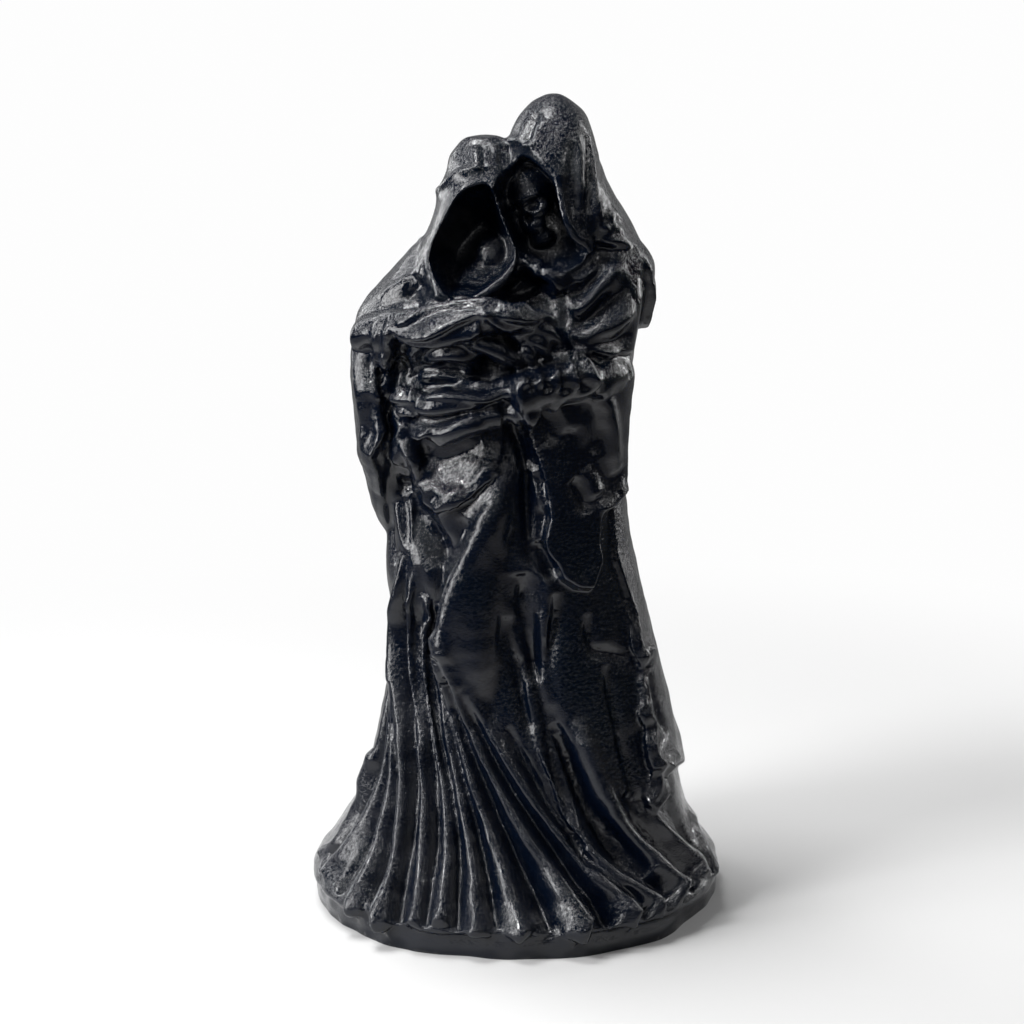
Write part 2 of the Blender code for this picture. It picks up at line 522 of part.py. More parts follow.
def carve(obj, strokes, view, reach=2.4, taper=0.22, end_taper=None):
    """Push strokes in or out along the skin, their lines cast on it from a side given as a direction."""
    mesh = obj.data
    co = np.empty(len(mesh.vertices) * 3)
    mesh.vertices.foreach_get("co", co)
    co = co.reshape(-1, 3) / UNIT
    normal = np.empty(len(co) * 3)
    mesh.vertices.foreach_get("normal", normal)
    normal = normal.reshape(-1, 3)
    tree = BVHTree.FromPolygons([Vector(c) for c in co], [tuple(p.vertices) for p in mesh.polygons])
    push = np.zeros(len(co))
    away = Vector(view)
    for kind, width, height, line in strokes:
        widths = width if isinstance(width, tuple) else (width, width)
        heights = height if isinstance(height, tuple) else (height, height)
        length = sum(math.dist(a, b) for a, b in zip(line, line[1:]))
        path = smooth_line(line, max(6, int(length / min(widths) * 2.5)))
        hits = []
        sides = []
        for t, (x, z) in zip(np.linspace(0, 1, len(path)), path):
            hit, face, index, far = tree.ray_cast(Vector((x, 0, z)) + away * 200, -away)
            if hit and (not hits or abs(hit.y - hits[-1][1]) < DEPTH_JUMP):
                hits.append((*hit, t))
                sides.append(face)
        if len(hits) < 3:
            continue
        hits = np.array(hits)
        sides = np.array(sides)
        margin = reach * max(widths)
        low, high = hits[:, :3].min(0) - margin, hits[:, :3].max(0) + margin
        near = np.flatnonzero(np.all((co > low) & (co < high), 1))
        gap = np.linalg.norm(co[near][:, None] - hits[None, :, :3], axis=2)
        closest = gap.argmin(1)
        gap = gap[np.arange(len(near)), closest]
        t = hits[closest, 3]
        faded = np.minimum(np.clip(t / taper, 0, 1), np.clip((1 - t) / (end_taper or taper), 0, 1)) ** 0.6
        facing = np.clip((normal[near] * sides[closest]).sum(1) * 2 + 0.2, 0, 1)
        r = gap / (widths[0] + (widths[1] - widths[0]) * t)
        shape = np.exp(-r * r) if kind == "ridge" else np.exp(-np.abs(r) ** 1.5)
        push[near] += (heights[0] + (heights[1] - heights[0]) * t) * faded * facing * shape
    co += normal * push[:, None]
    mesh.vertices.foreach_set("co", (co * UNIT).ravel())
    mesh.update()


def pleats(ridges):
    """Strokes for ridges that widen towards the hem, with a groove along the middle of each gap."""
    made = []
    for width, height, line in ridges:
        made.append(("ridge", (width * 0.6, width), (height * 0.6, height * 0.9), line))
    for (wide_a, high_a, a), (wide_b, high_b, b) in zip(ridges, ridges[1:]):
        top = min(a[0][1], b[0][1])
        bottom = max(a[-1][1], b[-1][1]) - 0.5
        middle = []
        for z in np.linspace(top, bottom, 5):
            xs = [np.interp(z, [p[1] for p in ridge[::-1]], [p[0] for p in ridge[::-1]]) for ridge in (a, b)]
            middle.append((sum(xs) / 2, z))
        wide, high = (wide_a + wide_b) / 2, (high_a + high_b) / 2
        made.append(("groove", (wide * 0.55, wide * 0.85), (-high * 0.5, -high * 1.1), tuple(middle)))
    return made


def share_of_way(low, high, value):
    t = np.clip((value - low) / (high - low), 0, 1)
    return t * t * (3 - 2 * t)


def inside_by(corners, u, v):
    """How far inside a polygon the points lie; negative outside it."""
    p = np.array(corners, float)
    q = np.roll(p, -1, 0)
    gap = np.full(len(u), 1e9)
    within = np.zeros(len(u), bool)
    for (ax, ay), (bx, by) in zip(p, q):
        dx, dy = bx - ax, by - ay
        t = np.clip(((u - ax) * dx + (v - ay) * dy) / (dx * dx + dy * dy), 0, 1)
        gap = np.minimum(gap, np.hypot(u - ax - t * dx, v - ay - t * dy))
        crosses = (ay > v) != (by > v)
        within ^= crosses & (u < ax + (v - ay) * dx / (dy if dy else 1e-9))
    return np.where(within, gap, -gap)


# Layers of cloth, as height, softness of the edge, heights where they fade out, and the edge's corners:
# x and z for those in front
FRONT_LAYERS = (
    (3.4, 0.9, (128, 135), (
        (-0.6, 131.4), (0.9, 124), (3.2, 115), (5.6, 106), (7.6, 97), (6.4, 92), (6.6, 89), (9.4, 85),
        (11.0, 82), (14, 79.6), (17.6, 78.8), (18.6, 82), (19.6, 85), (19.0, 91), (19.6, 97.4),
        (22.2, 97.0), (25, 99.6), (25.6, 104.6), (29, 108), (34, 120), (34, 134), (14, 134),
    )),
    (1.0, 0.7, (150, 151), (
        (-29.8, 112), (-27.6, 118.4), (-18, 119.2), (-10, 122.4), (-3, 124.4), (-2.6, 118), (-3.4, 112),
        (-8.5, 106), (-13, 101.4), (-18, 98.8), (-22, 100.6), (-25.6, 106),
    )),
    (1.2, 0.8, (148, 158), (
        (7.4, 154), (16, 156), (27, 162), (40, 160), (40, 135), (28, 134.4), (20, 136), (13.6, 135),
        (12.4, 139), (13, 147), (11.6, 151),
    )),
)
# and degrees round from +X and z for those that wrap the sides and the back
AROUND_LAYERS = (
    (2.6, 0.9, (70, 112), (
        (-29, 106), (-31, 98), (-33, 92), (-34, 84), (-30, 76), (-28, 70), (-30, 64), (-28.5, 59),
        (-25.5, 57), (-29, 54), (-30, 49), (-33, 46), (-30, 43), (-33, 38), (-31, 33), (-33, 28),
        (-39, 25), (-35, 22.5), (-27, 25), (-22, 31), (-17, 33), (-8, 28.5), (0, 27), (5, 33), (14, 36),
        (22, 32), (30, 38), (40, 40), (48, 34), (57, 39), (66, 44), (75, 38), (84, 42), (92, 37),
        (101, 42), (110, 46), (118, 40), (127, 46), (136, 52), (144, 48), (152, 58), (158, 70),
        (162, 90), (160, 112), (150, 130), (30, 135), (-10, 125),
    )),
    (2.8, 0.8, (146, 160), (
        (-14, 156), (-8, 148), (-2, 139.5), (6, 137.6), (15, 141), (24, 137), (35, 133), (46, 136),
        (57, 130), (68, 132), (80, 127), (92, 131), (104, 127), (115, 132), (125, 140), (130, 152),
        (120, 163), (20, 166),
    )),
)


def lay(obj, layers, around):
    """Raise patches of the skin like a further layer of cloth with a ragged edge."""
    mesh = obj.data
    co = np.empty(len(mesh.vertices) * 3)
    mesh.vertices.foreach_get("co", co)
    co = co.reshape(-1, 3) / UNIT
    normal = np.empty(len(co) * 3)
    mesh.vertices.foreach_get("normal", normal)
    normal = normal.reshape(-1, 3)
    for height, edge, top, corners in layers:
        if around:
            radius = np.hypot(co[:, 0], co[:, 1])
            turn = np.degrees(np.arctan2(co[:, 1], co[:, 0]))
            turn = np.where(turn < -130, turn + 360, turn)
            scale = math.radians(1) * 32
            inside = inside_by([(a * scale, z) for a, z in corners], turn * scale, co[:, 2])
            out = (normal[:, 0] * co[:, 0] + normal[:, 1] * co[:, 1]) / np.maximum(radius, 1e-6)
            weight = share_of_way(0.0, 0.35, out) * share_of_way(11, 15, radius)
        else:
            inside = inside_by(corners, co[:, 0], co[:, 2])
            weight = share_of_way(0.0, 0.3, -normal[:, 1]) * share_of_way(-7, -11, co[:, 1])
        rise = share_of_way(-edge * 0.5, edge * 0.5, inside)
        rise *= 0.62 + 0.38 * np.exp(-np.maximum(inside, 0) / 4.0)
        rise *= share_of_way(top[1], top[0], co[:, 2])
        co += normal * (height * rise * weight)[:, None]
    mesh.vertices.foreach_set("co", (co * UNIT).ravel())
    mesh.update()


def forms_only():
    clear_scene()
    hoods = [column("tall hood", TALL_HOOD), column("small hood", SMALL_HOOD)]
    hoods = fused("hoods", hoods, CLAY_GRAIN * 0.7)
    for name, mouth in MOUTHS.items():
        hoods = cut(hoods, front_cutter(name, *mouth))
    faces = [skull(name, *shape) for name, shape in SKULLS.items()]
    figure = fused("grim_reaper_figurine", forms() + [hoods] + faces, CLAY_GRAIN)
    return figure


def thinned(obj, triangles):
    """Fewer triangles, and a flat underside cut at the foot of the base."""
    fewer = obj.modifiers.new("fewer", "DECIMATE")
    fewer.ratio = triangles / (2 * len(obj.data.polygons))
    fewer.use_collapse_triangulate = True
    bpy.context.view_layer.update()
    made = evaluated_copy(obj, obj.name)
    remove(obj)
    bm = bmesh.new()
    bm.from_mesh(made.data)
    whole = bm.verts[:] + bm.edges[:] + bm.faces[:]
    foot = Vector((0, 0, -BASE_HEIGHT))
    cut_line = bmesh.ops.bisect_plane(bm, geom=whole, plane_co=foot, plane_no=(0, 0, 1), clear_inner=True)
    rim = [e for e in cut_line["geom_cut"] if isinstance(e, bmesh.types.BMEdge)]
    bmesh.ops.holes_fill(bm, edges=rim)
    bmesh.ops.translate(bm, vec=-foot, verts=bm.verts)
    bmesh.ops.triangulate(bm, faces=bm.faces)
    bm.to_mesh(made.data)
    bm.free()
    return made


def finish(obj):
    material = bpy.data.materials.new("glossy black resin")
    material.use_nodes = True
    surface = material.node_tree.nodes["Principled BSDF"]
    surface.inputs["Base Color"].default_value = (0.012, 0.012, 0.013, 1)
    surface.inputs["Roughness"].default_value = 0.25
    obj.data.materials.clear()
    obj.data.materials.append(material)
    obj.data.shade_smooth()
    group = bpy.data.collections.new("grim reaper figurine")
    bpy.context.scene.collection.children.link(group)
    bpy.context.scene.collection.objects.unlink(obj)
    group.objects.link(obj)
    obj.name = "grim_reaper_figurine"


def main():
    figure = forms_only()
    lay(figure, AROUND_LAYERS, True)
    lay(figure, FRONT_LAYERS, False)
    carve(figure, pleats(SKIRT_RIDGES), (0, -1, 0), taper=0.2, end_taper=0.02)
    carve(figure, pleats(BACK_RIDGES), (0, 1, 0), taper=0.3, end_taper=0.02)
    carve(figure, FRONT_STROKES, (0, -1, 0))
    figure = fused("grim_reaper_figurine", [figure], CLAY_GRAIN)
    figure = thinned(figure, TRIANGLES)
    finish(figure)
    return figure


if __name__ == "__main__":
    main()
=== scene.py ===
# Glossy black figurine of two hooded reapers in an embrace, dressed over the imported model
import math

import bmesh
import bpy
import numpy as np
from mathutils import Euler, Matrix, Vector
from mathutils.bvhtree import BVHTree


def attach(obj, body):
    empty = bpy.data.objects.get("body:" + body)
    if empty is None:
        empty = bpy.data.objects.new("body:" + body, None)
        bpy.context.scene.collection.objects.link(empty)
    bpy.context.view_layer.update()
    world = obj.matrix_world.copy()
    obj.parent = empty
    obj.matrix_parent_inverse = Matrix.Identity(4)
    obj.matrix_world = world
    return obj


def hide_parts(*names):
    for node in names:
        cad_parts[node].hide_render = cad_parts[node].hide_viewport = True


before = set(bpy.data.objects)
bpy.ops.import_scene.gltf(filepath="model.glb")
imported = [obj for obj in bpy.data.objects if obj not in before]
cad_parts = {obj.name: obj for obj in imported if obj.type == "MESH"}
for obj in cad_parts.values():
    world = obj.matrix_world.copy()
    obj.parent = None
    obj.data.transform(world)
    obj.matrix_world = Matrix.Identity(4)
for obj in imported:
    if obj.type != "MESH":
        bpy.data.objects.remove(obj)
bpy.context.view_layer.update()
print("frame loaded")

# One unit is a millimetre of the figures at their real size; z = 0 is the base's top while they are modelled
sizes = {
    "figureHeight": 0.1945,
    "baseHeight": 0.0055,
    "baseRadius": 0.050,
    "hemOverhang": 0.0008,
    "grain": 0.0005,  # cells that the forms are fused with
    "skullGrain": 0.0004,
    "triangles": 190000,
}
unit = sizes["figureHeight"] / 194.5


# Modelling helpers
def smoothLine(points, count):
    p = np.array(points, float)
    p = np.vstack([2 * p[0] - p[1], p, 2 * p[-1] - p[-2]])
    at = np.linspace(0, len(p) - 3, count)
    i = np.minimum(at.astype(int), len(p) - 4)
    t = (at - i)[:, None]
    a, b, c, d = p[i], p[i + 1], p[i + 2], p[i + 3]
    return 0.5 * (2 * b + (c - a) * t + (2 * a - 5 * b + 4 * c - d) * t**2 + (3 * b - 3 * c + d - a) * t**3)


def smoothStep(low, high, value):
    t = np.clip((value - low) / (high - low), 0, 1)
    return t * t * (3 - 2 * t)


def linkedObject(name, mesh):
    obj = bpy.data.objects.new(name, mesh)
    bpy.context.scene.collection.objects.link(obj)
    return obj


def removeObjects(*objects):
    for obj in objects:
        bpy.data.objects.remove(obj, do_unlink=True)


def loft(name, rings):
    # closed skin over rings of equally many points, with a point in the middle of each end
    rings = np.asarray(rings, float)
    count, around = rings.shape[:2]
    points = np.vstack([rings.reshape(-1, 3), rings[0].mean(0), rings[-1].mean(0)])
    faces = []
    for k in range(around):
        n = (k + 1) % around
        faces.append((count * around, n, k))
        faces.append((count * around + 1, (count - 1) * around + k, (count - 1) * around + n))
        for r in range(count - 1):
            faces.append((r * around + k, r * around + n, (r + 1) * around + n, (r + 1) * around + k))
    mesh = bpy.data.meshes.new(name)
    mesh.from_pydata([tuple(p) for p in points], [], faces)
    mesh.update()
    return linkedObject(name, mesh)


def oval(left, right, front, back, around, squareness=2.2):
    turn = np.linspace(0, 2 * math.pi, around, endpoint=False)
    c, s = np.cos(turn), np.sin(turn)
    x = (left + right) / 2 + (right - left) / 2 * np.sign(c) * np.abs(c) ** (2 / squareness)
    y = (front + back) / 2 + (back - front) / 2 * np.sign(s) * np.abs(s) ** (2 / squareness)
    return x, y


def column(name, table, levels=90, around=160):
    # rows of the table: height, left, right, front, back
    rings = []
    for z, left, right, front, back in smoothLine(table, levels):
        x, y = oval(left, right, front, back, around)
        rings.append(np.stack([x, y, np.full(around, z)], 1) * unit)
    return loft(name, rings)


limbMaking = {"hangs": 20, "blunt": 12, "tip": 0.001}  # a limb hangs when it drops by more than that


def limb(name, path, wides, deeps, count=60, around=40):
    # tube with its own thickness at each point of its path:
    # up and across where it lies, sideways and deep where it hangs
    line = smoothLine(np.column_stack([np.array(path, float), wides, deeps]), count)
    centre = line[:, :3]
    along = np.gradient(centre, axis=0)
    along /= np.linalg.norm(along, axis=1)[:, None]
    turn = np.linspace(0, 2 * math.pi, around, endpoint=False)
    upright = (1, 0, 0) if abs(centre[-1, 2] - centre[0, 2]) > limbMaking["hangs"] else (0, 0, 1)
    share = np.linspace(0, 1, count)
    tip = limbMaking["tip"]
    blunt = np.sqrt(np.clip(1 - np.abs(2 * share - 1) ** limbMaking["blunt"], 0, 1)) * (1 - tip) + tip
    rings = []
    for k in range(count):
        side = np.cross(along[k], upright)
        side /= np.linalg.norm(side)
        up = np.cross(side, along[k])
        ring = np.outer(np.cos(turn) * line[k, 4], side) + np.outer(np.sin(turn) * line[k, 3], up)
        rings.append((centre[k] + blunt[k] * ring) * unit)
    return loft(name, rings[::-1])


def ball(name, centre, radii, turn=(0, 0, 0)):
    mesh = bpy.data.meshes.new(name)
    bm = bmesh.new()
    bmesh.ops.create_uvsphere(bm, u_segments=32, v_segments=20, radius=1)
    spin = Euler([math.radians(a) for a in turn]).to_matrix().to_4x4()
    place = Matrix.Translation(Vector(centre) * unit) @ spin
    bmesh.ops.transform(bm, matrix=place @ Matrix.Diagonal((*(r * unit for r in radii), 1)), verts=bm.verts)
    bm.to_mesh(mesh)
    bm.free()
    return linkedObject(name, mesh)


def evaluatedCopy(obj, name):
    graph = bpy.context.evaluated_depsgraph_get()
    return linkedObject(name, bpy.data.meshes.new_from_object(obj.evaluated_get(graph)))


def fused(name, pieces, grain, smoothing=3):
    bm = bmesh.new()
    for piece in pieces:
        bm.from_mesh(piece.data)
    mesh = bpy.data.meshes.new(name)
    bm.to_mesh(mesh)
    bm.free()
    lump = linkedObject(name, mesh)
    skin = lump.modifiers.new("fuse", "REMESH")
    skin.mode = "VOXEL"
    skin.voxel_size = grain
    skin.use_smooth_shade = True
    even = lump.modifiers.new("even", "SMOOTH")
    even.factor = 0.5
    even.iterations = smoothing
    bpy.context.view_layer.update()
    made = evaluatedCopy(lump, name)
    removeObjects(lump, *pieces)
    return made


def cutBy(obj, cutter):
    hole = obj.modifiers.new("cut", "BOOLEAN")
    hole.operation = "DIFFERENCE"
    hole.object = cutter
    bpy.context.view_layer.update()
    made = evaluatedCopy(obj, obj.name)
    removeObjects(obj, cutter)
    return made


hollowMaking = {
    "around": 96,
    "depths": (-0.6, 0.0, 0.25, 0.5, 0.7, 0.85, 0.95, 1.0),  # shares of the depth, the first ones in front
    "roundness": 2.4,
    "tip": 0.02,
}


def mouthCutter(name, outline, front, depth, lean):
    # hollow with that outline of x and z at its mouth, rounding to a point further in
    mouth = smoothLine(list(outline) + [outline[0]], hollowMaking["around"] + 1)[:-1]
    middle = mouth.mean(0)
    rings = []
    for t in hollowMaking["depths"]:
        size = 1.0 if t <= 0 else math.sqrt(max(1 - t ** hollowMaking["roundness"], hollowMaking["tip"] ** 2))
        x = middle[0] + lean[0] * t + (mouth[:, 0] - middle[0]) * size
        z = middle[1] + lean[1] * t + (mouth[:, 1] - middle[1]) * size
        rings.append(np.stack([x, np.full(len(x), front + depth * t), z], 1) * unit)
    cutter = loft(name, rings)
    bm = bmesh.new()
    bm.from_mesh(cutter.data)
    bmesh.ops.recalc_face_normals(bm, faces=bm.faces)
    bm.to_mesh(cutter.data)
    bm.free()
    return cutter


def readMesh(obj):
    mesh = obj.data
    co = np.empty(len(mesh.vertices) * 3)
    mesh.vertices.foreach_get("co", co)
    normal = np.empty(len(co))
    mesh.vertices.foreach_get("normal", normal)
    return co.reshape(-1, 3) / unit, normal.reshape(-1, 3)


def writeMesh(obj, co):
    obj.data.vertices.foreach_set("co", (co * unit).ravel())
    obj.data.update()


carving = {
    "away": 200,  # where the strokes are cast from
    "jump": 6,  # a stroke stops where the skin is deeper by more than that
    "steps": 2.5,  # for each width of a stroke
    "reach": 2.6,  # how many widths from its line a stroke is felt
    "taper": 0.22,
    "taperCurve": 0.6,
    "facing": (2, 0.2),
    "crestCurve": 1.2,
    "grooveCurve": 1.5,
    "edge": (-0.35, 0.45),
    "batch": 20000,
}


def carve(obj, strokes, view=(0, -1, 0), startTaper=carving["taper"], endTaper=carving["taper"]):
    # strokes are lines of x and z that are cast on the skin from one side, then pushed out or in
    co, normal = readMesh(obj)
    tree = BVHTree.FromPolygons([Vector(c) for c in co], [tuple(p.vertices) for p in obj.data.polygons])
    push = np.zeros(len(co))
    away = Vector(view)
    for kind, width, height, line in strokes:
        widths = width if isinstance(width, tuple) else (width, width)
        heights = height if isinstance(height, tuple) else (height, height)
        length = sum(math.dist(a, b) for a, b in zip(line, line[1:]))
        path = smoothLine(line, max(6, int(length / min(widths) * carving["steps"])))
        hits = []
        faces = []
        for t, (x, z) in zip(np.linspace(0, 1, len(path)), path):
            hit, face, index, far = tree.ray_cast(Vector((x, 0, z)) + away * carving["away"], -away)
            if hit and (not hits or abs(hit.y - hits[-1][1]) < carving["jump"]):
                hits.append((*hit, t))
                faces.append(face)
        if len(hits) < 3:
            continue
        hits = np.array(hits)
        faces = np.array(faces)
        margin = carving["reach"] * max(widths)
        low, high = hits[:, :3].min(0) - margin, hits[:, :3].max(0) + margin
        near = np.flatnonzero(np.all((co > low) & (co < high), 1))
        closest = np.empty(len(near), int)
        gap = np.empty(len(near))
        for start in range(0, len(near), carving["batch"]):
            part = slice(start, start + carving["batch"])
            squares = ((co[near[part]][:, None] - hits[None, :, :3]) ** 2).sum(2)
            closest[part] = squares.argmin(1)
            gap[part] = np.sqrt(squares.min(1))
        t = hits[closest, 3]
        faded = np.minimum(np.clip(t / startTaper, 0, 1), np.clip((1 - t) / endTaper, 0, 1))
        faded = faded ** carving["taperCurve"]
        gain, least = carving["facing"]
        facing = np.clip((normal[near] * faces[closest]).sum(1) * gain + least, 0, 1)
        wide = widths[0] + (widths[1] - widths[0]) * t
        tall = heights[0] + (heights[1] - heights[0]) * t
        r = gap / wide
        if kind == "ridge":
            shape = np.exp(-r * r)
        elif kind == "crest":
            shape = np.exp(-np.abs(r) ** carving["crestCurve"])
        elif kind == "groove":
            shape = -np.exp(-np.abs(r) ** carving["grooveCurve"])
        else:
            # edge of a further layer: proud on the left of the line as it is drawn, fading away from it
            ahead = np.gradient(hits[:, :3], axis=0)[closest]
            across = np.cross(faces[closest], ahead)
            across /= np.maximum(np.linalg.norm(across, axis=1), 1e-9)[:, None]
            side = ((co[near] - hits[closest, :3]) * across).sum(1)
            shape = smoothStep(*carving["edge"], side) * np.exp(-np.maximum(side, 0) / wide)
        push[near] += tall * faded * facing * shape
    writeMesh(obj, co + normal * push[:, None])


def insideBy(corners, u, v):
    # how far inside a polygon the points lie, negative outside it
    p = np.array(corners, float)
    gap = np.full(len(u), 1e9)
    within = np.zeros(len(u), bool)
    for (ax, ay), (bx, by) in zip(p, np.roll(p, -1, 0)):
        dx, dy = bx - ax, by - ay
        t = np.clip(((u - ax) * dx + (v - ay) * dy) / (dx * dx + dy * dy), 0, 1)
        gap = np.minimum(gap, np.hypot(u - ax - t * dx, v - ay - t * dy))
        within ^= ((ay > v) != (by > v)) & (u < ax + (v - ay) * dx / (dy if dy else 1e-9))
    return np.where(within, gap, -gap)


laying = {
    "seam": -130,  # degrees from +X where the way round the figure starts
    "radius": 32,  # that the way round is measured at
    "outward": (0.0, 0.35),  # the share that faces outward, from no layer to all of it
    "clear": (11, 15),  # the same for the distance from the middle
    "frontward": (0.0, 0.3),
    "frontDepth": (-7, -11),
    "kept": 0.62,  # of the height, away from the layer's edge
    "fading": 4.0,
}


def lay(obj, layers, around):
    # raises patches of the skin like one more layer of cloth
    for layer in layers:
        co, normal = readMesh(obj)
        edge = layer["edge"]
        if around:
            radius = np.hypot(co[:, 0], co[:, 1])
            turn = np.degrees(np.arctan2(co[:, 1], co[:, 0]))
            turn = np.where(turn < laying["seam"], turn + 360, turn)
            scale = math.radians(1) * laying["radius"]
            inside = insideBy([(a * scale, z) for a, z in layer["corners"]], turn * scale, co[:, 2])
            out = (normal[:, 0] * co[:, 0] + normal[:, 1] * co[:, 1]) / np.maximum(radius, 1e-6)
            weight = smoothStep(*laying["outward"], out) * smoothStep(*laying["clear"], radius)
        else:
            inside = insideBy(layer["corners"], co[:, 0], co[:, 2])
            weight = smoothStep(*laying["frontward"], -normal[:, 1])
            weight *= smoothStep(*laying["frontDepth"], co[:, 1])
        kept = laying["kept"]
        rise = kept + (1 - kept) * np.exp(-np.maximum(inside, 0) / laying["fading"])
        rise *= smoothStep(-edge * 0.5, edge * 0.5, inside)
        rise *= smoothStep(layer["fadeTop"], layer["fadeFoot"], co[:, 2])
        writeMesh(obj, co + normal * (layer["height"] * rise * weight)[:, None])


# Shares of a fold's width and height, at its start and at the hem
pleating = {
    "ridge": {"width": (0.6, 1.3), "height": (0.75, 1.0)},
    "groove": {"width": (0.4, 0.6), "height": (0.85, 1.3)},
    "lift": 0.5,  # a hollow ends that much above the ridges beside it
    "points": 5,
}


def foldStroke(kind, width, height, line):
    wides, talls = pleating[kind]["width"], pleating[kind]["height"]
    return kind, (width * wides[0], width * wides[1]), (height * talls[0], height * talls[1]), line


def pleats(ridges):
    # ridges side by side that widen towards the hem, with a hollow along the middle of each gap
    made = []
    for width, height, line in ridges:
        made.append(foldStroke("ridge", width, height, line))
    for (wideA, highA, a), (wideB, highB, b) in zip(ridges, ridges[1:]):
        top = min(a[0][1], b[0][1])
        bottom = max(a[-1][1], b[-1][1]) - pleating["lift"]
        middle = []
        for z in np.linspace(top, bottom, pleating["points"]):
            xs = [np.interp(z, [p[1] for p in ridge[::-1]], [p[0] for p in ridge[::-1]]) for ridge in (a, b)]
            middle.append((sum(xs) / 2, z))
        made.append(foldStroke("groove", (wideA + wideB) / 2, (highA + highB) / 2, tuple(middle)))
    return made


def uneven(obj, look):
    # slow swells of a surface worked by hand
    co, normal = readMesh(obj)
    draw = np.random.default_rng(look["seed"])
    swell = np.zeros(len(co))
    for size, height in look["waves"]:
        for k in range(look["directions"]):
            way = draw.normal(size=3)
            way *= 2 * math.pi / size / np.linalg.norm(way)
            swell += height * np.sin(co @ way + draw.uniform(0, 2 * math.pi))
    writeMesh(obj, co + normal * swell[:, None])


# Robe and base, as rows of height, left, right, front and back
robeShape = {
    "rows": (
        (9.6, -45.2, 46.4, -43.5, 43.0),
        (15.0, -41.8, 43.6, -39.5, 39.0),
        (20.0, -39.3, 42.0, -37.0, 36.0),
        (31.0, -35.6, 39.6, -33.5, 32.0),
        (46.5, -32.4, 36.5, -30.5, 29.0),
        (57.0, -31.1, 34.0, -29.0, 27.0),
        (67.0, -30.8, 31.3, -28.0, 26.0),
        (82.0, -31.6, 28.0, -27.0, 25.0),
        (97.0, -31.0, 26.5, -25.5, 24.0),
        (112.0, -29.0, 25.5, -24.0, 23.5),
        (127.0, -28.0, 25.5, -22.5, 22.5),
        (142.0, -26.5, 26.5, -20.0, 21.0),
        (150.0, -23.0, 25.0, -16.0, 19.5),
        (158.0, -17.0, 22.0, -9.0, 17.0),
        (166.0, -12.0, 18.0, -4.0, 14.5),
        (173.0, -9.0, 13.0, 0.0, 12.0),
    ),
    "levels": 200,
    "around": 420,
}


def robe():
    hem = (sizes["baseRadius"] + sizes["hemOverhang"]) / unit
    rows = ((0.2, 1.4 - hem, hem - 1.4, 1.4 - hem, hem - 1.4), (1.2, -hem, hem, -hem, hem))
    rows += ((3.6, 1.0 - hem, hem, 2.2 - hem, hem - 1.8), (6.5, 3.6 - hem, hem - 2.4, 5.4 - hem, hem - 4.6))
    return column("robe", rows + robeShape["rows"], robeShape["levels"], robeShape["around"])


baseShape = {
    "around": 240,
    "wave": 0.0006,
    "waves": ((5, 1, 0.6), (9, 0.6, 2.0), (14, 0.4, 0)),  # how many round it, share and start of each
    "waist": 0.0004,  # how far the rim swells halfway up
    "tops": (0.0008, -0.002),  # rise and growth of the top inside the rim
    "below": 1.4,  # heights that it goes down before the underside is cut flat
}


def base():
    around = baseShape["around"]
    turn = np.linspace(0, 2 * math.pi, around, endpoint=False)
    waves = [share * np.sin(many * turn + start) for many, share, start in baseShape["waves"]]
    wave = baseShape["wave"] * sum(waves)
    tall = sizes["baseHeight"]
    levels = ((-baseShape["below"] * tall, 0), (-tall, 0), (-0.5 * tall, baseShape["waist"]), (0, 0))
    rings = []
    for z, grow in (*levels, baseShape["tops"]):
        r = sizes["baseRadius"] + wave + grow
        rings.append(np.stack([r * np.cos(turn), r * np.sin(turn), np.full(around, z)], 1))
    return loft("base", rings)


torsoShapes = {
    "small torso": (
        (98.0, -20.0, 2.0, -10.0, 8.0),
        (104.0, -28.0, 4.0, -18.0, 16.0),
        (120.0, -33.5, 5.0, -21.0, 18.0),
        (132.0, -37.5, 5.0, -21.5, 18.5),
        (138.0, -38.8, 5.0, -21.0, 18.0),
        (143.0, -37.6, 4.0, -19.0, 17.0),
        (148.0, -34.0, 3.0, -16.5, 15.5),
        (153.0, -29.5, 2.0, -14.0, 14.0),
        (158.0, -25.0, 1.0, -12.0, 12.0),
        (162.0, -20.0, -2.0, -8.0, 10.0),
    ),
    "tall torso": (
        (92.0, 2.0, 18.0, -8.0, 10.0),
        (98.0, -4.0, 25.5, -17.0, 18.0),
        (118.0, -4.0, 27.5, -21.0, 21.0),
        (133.0, -3.0, 29.0, -21.5, 22.0),
        (141.0, -2.0, 30.6, -20.0, 22.0),
        (148.0, -1.0, 32.2, -18.0, 21.5),
        (153.5, 0.0, 32.0, -15.5, 20.5),
        (158.0, 1.0, 31.0, -13.5, 19.5),
        (162.5, 2.0, 28.8, -12.0, 18.5),
        (167.0, 3.5, 26.0, -10.0, 17.5),
        (172.0, 5.0, 23.4, -7.5, 15.0),
        (177.0, 7.0, 21.0, -4.5, 13.5),
        (182.0, 9.0, 19.0, -1.5, 11.0),
    ),
}

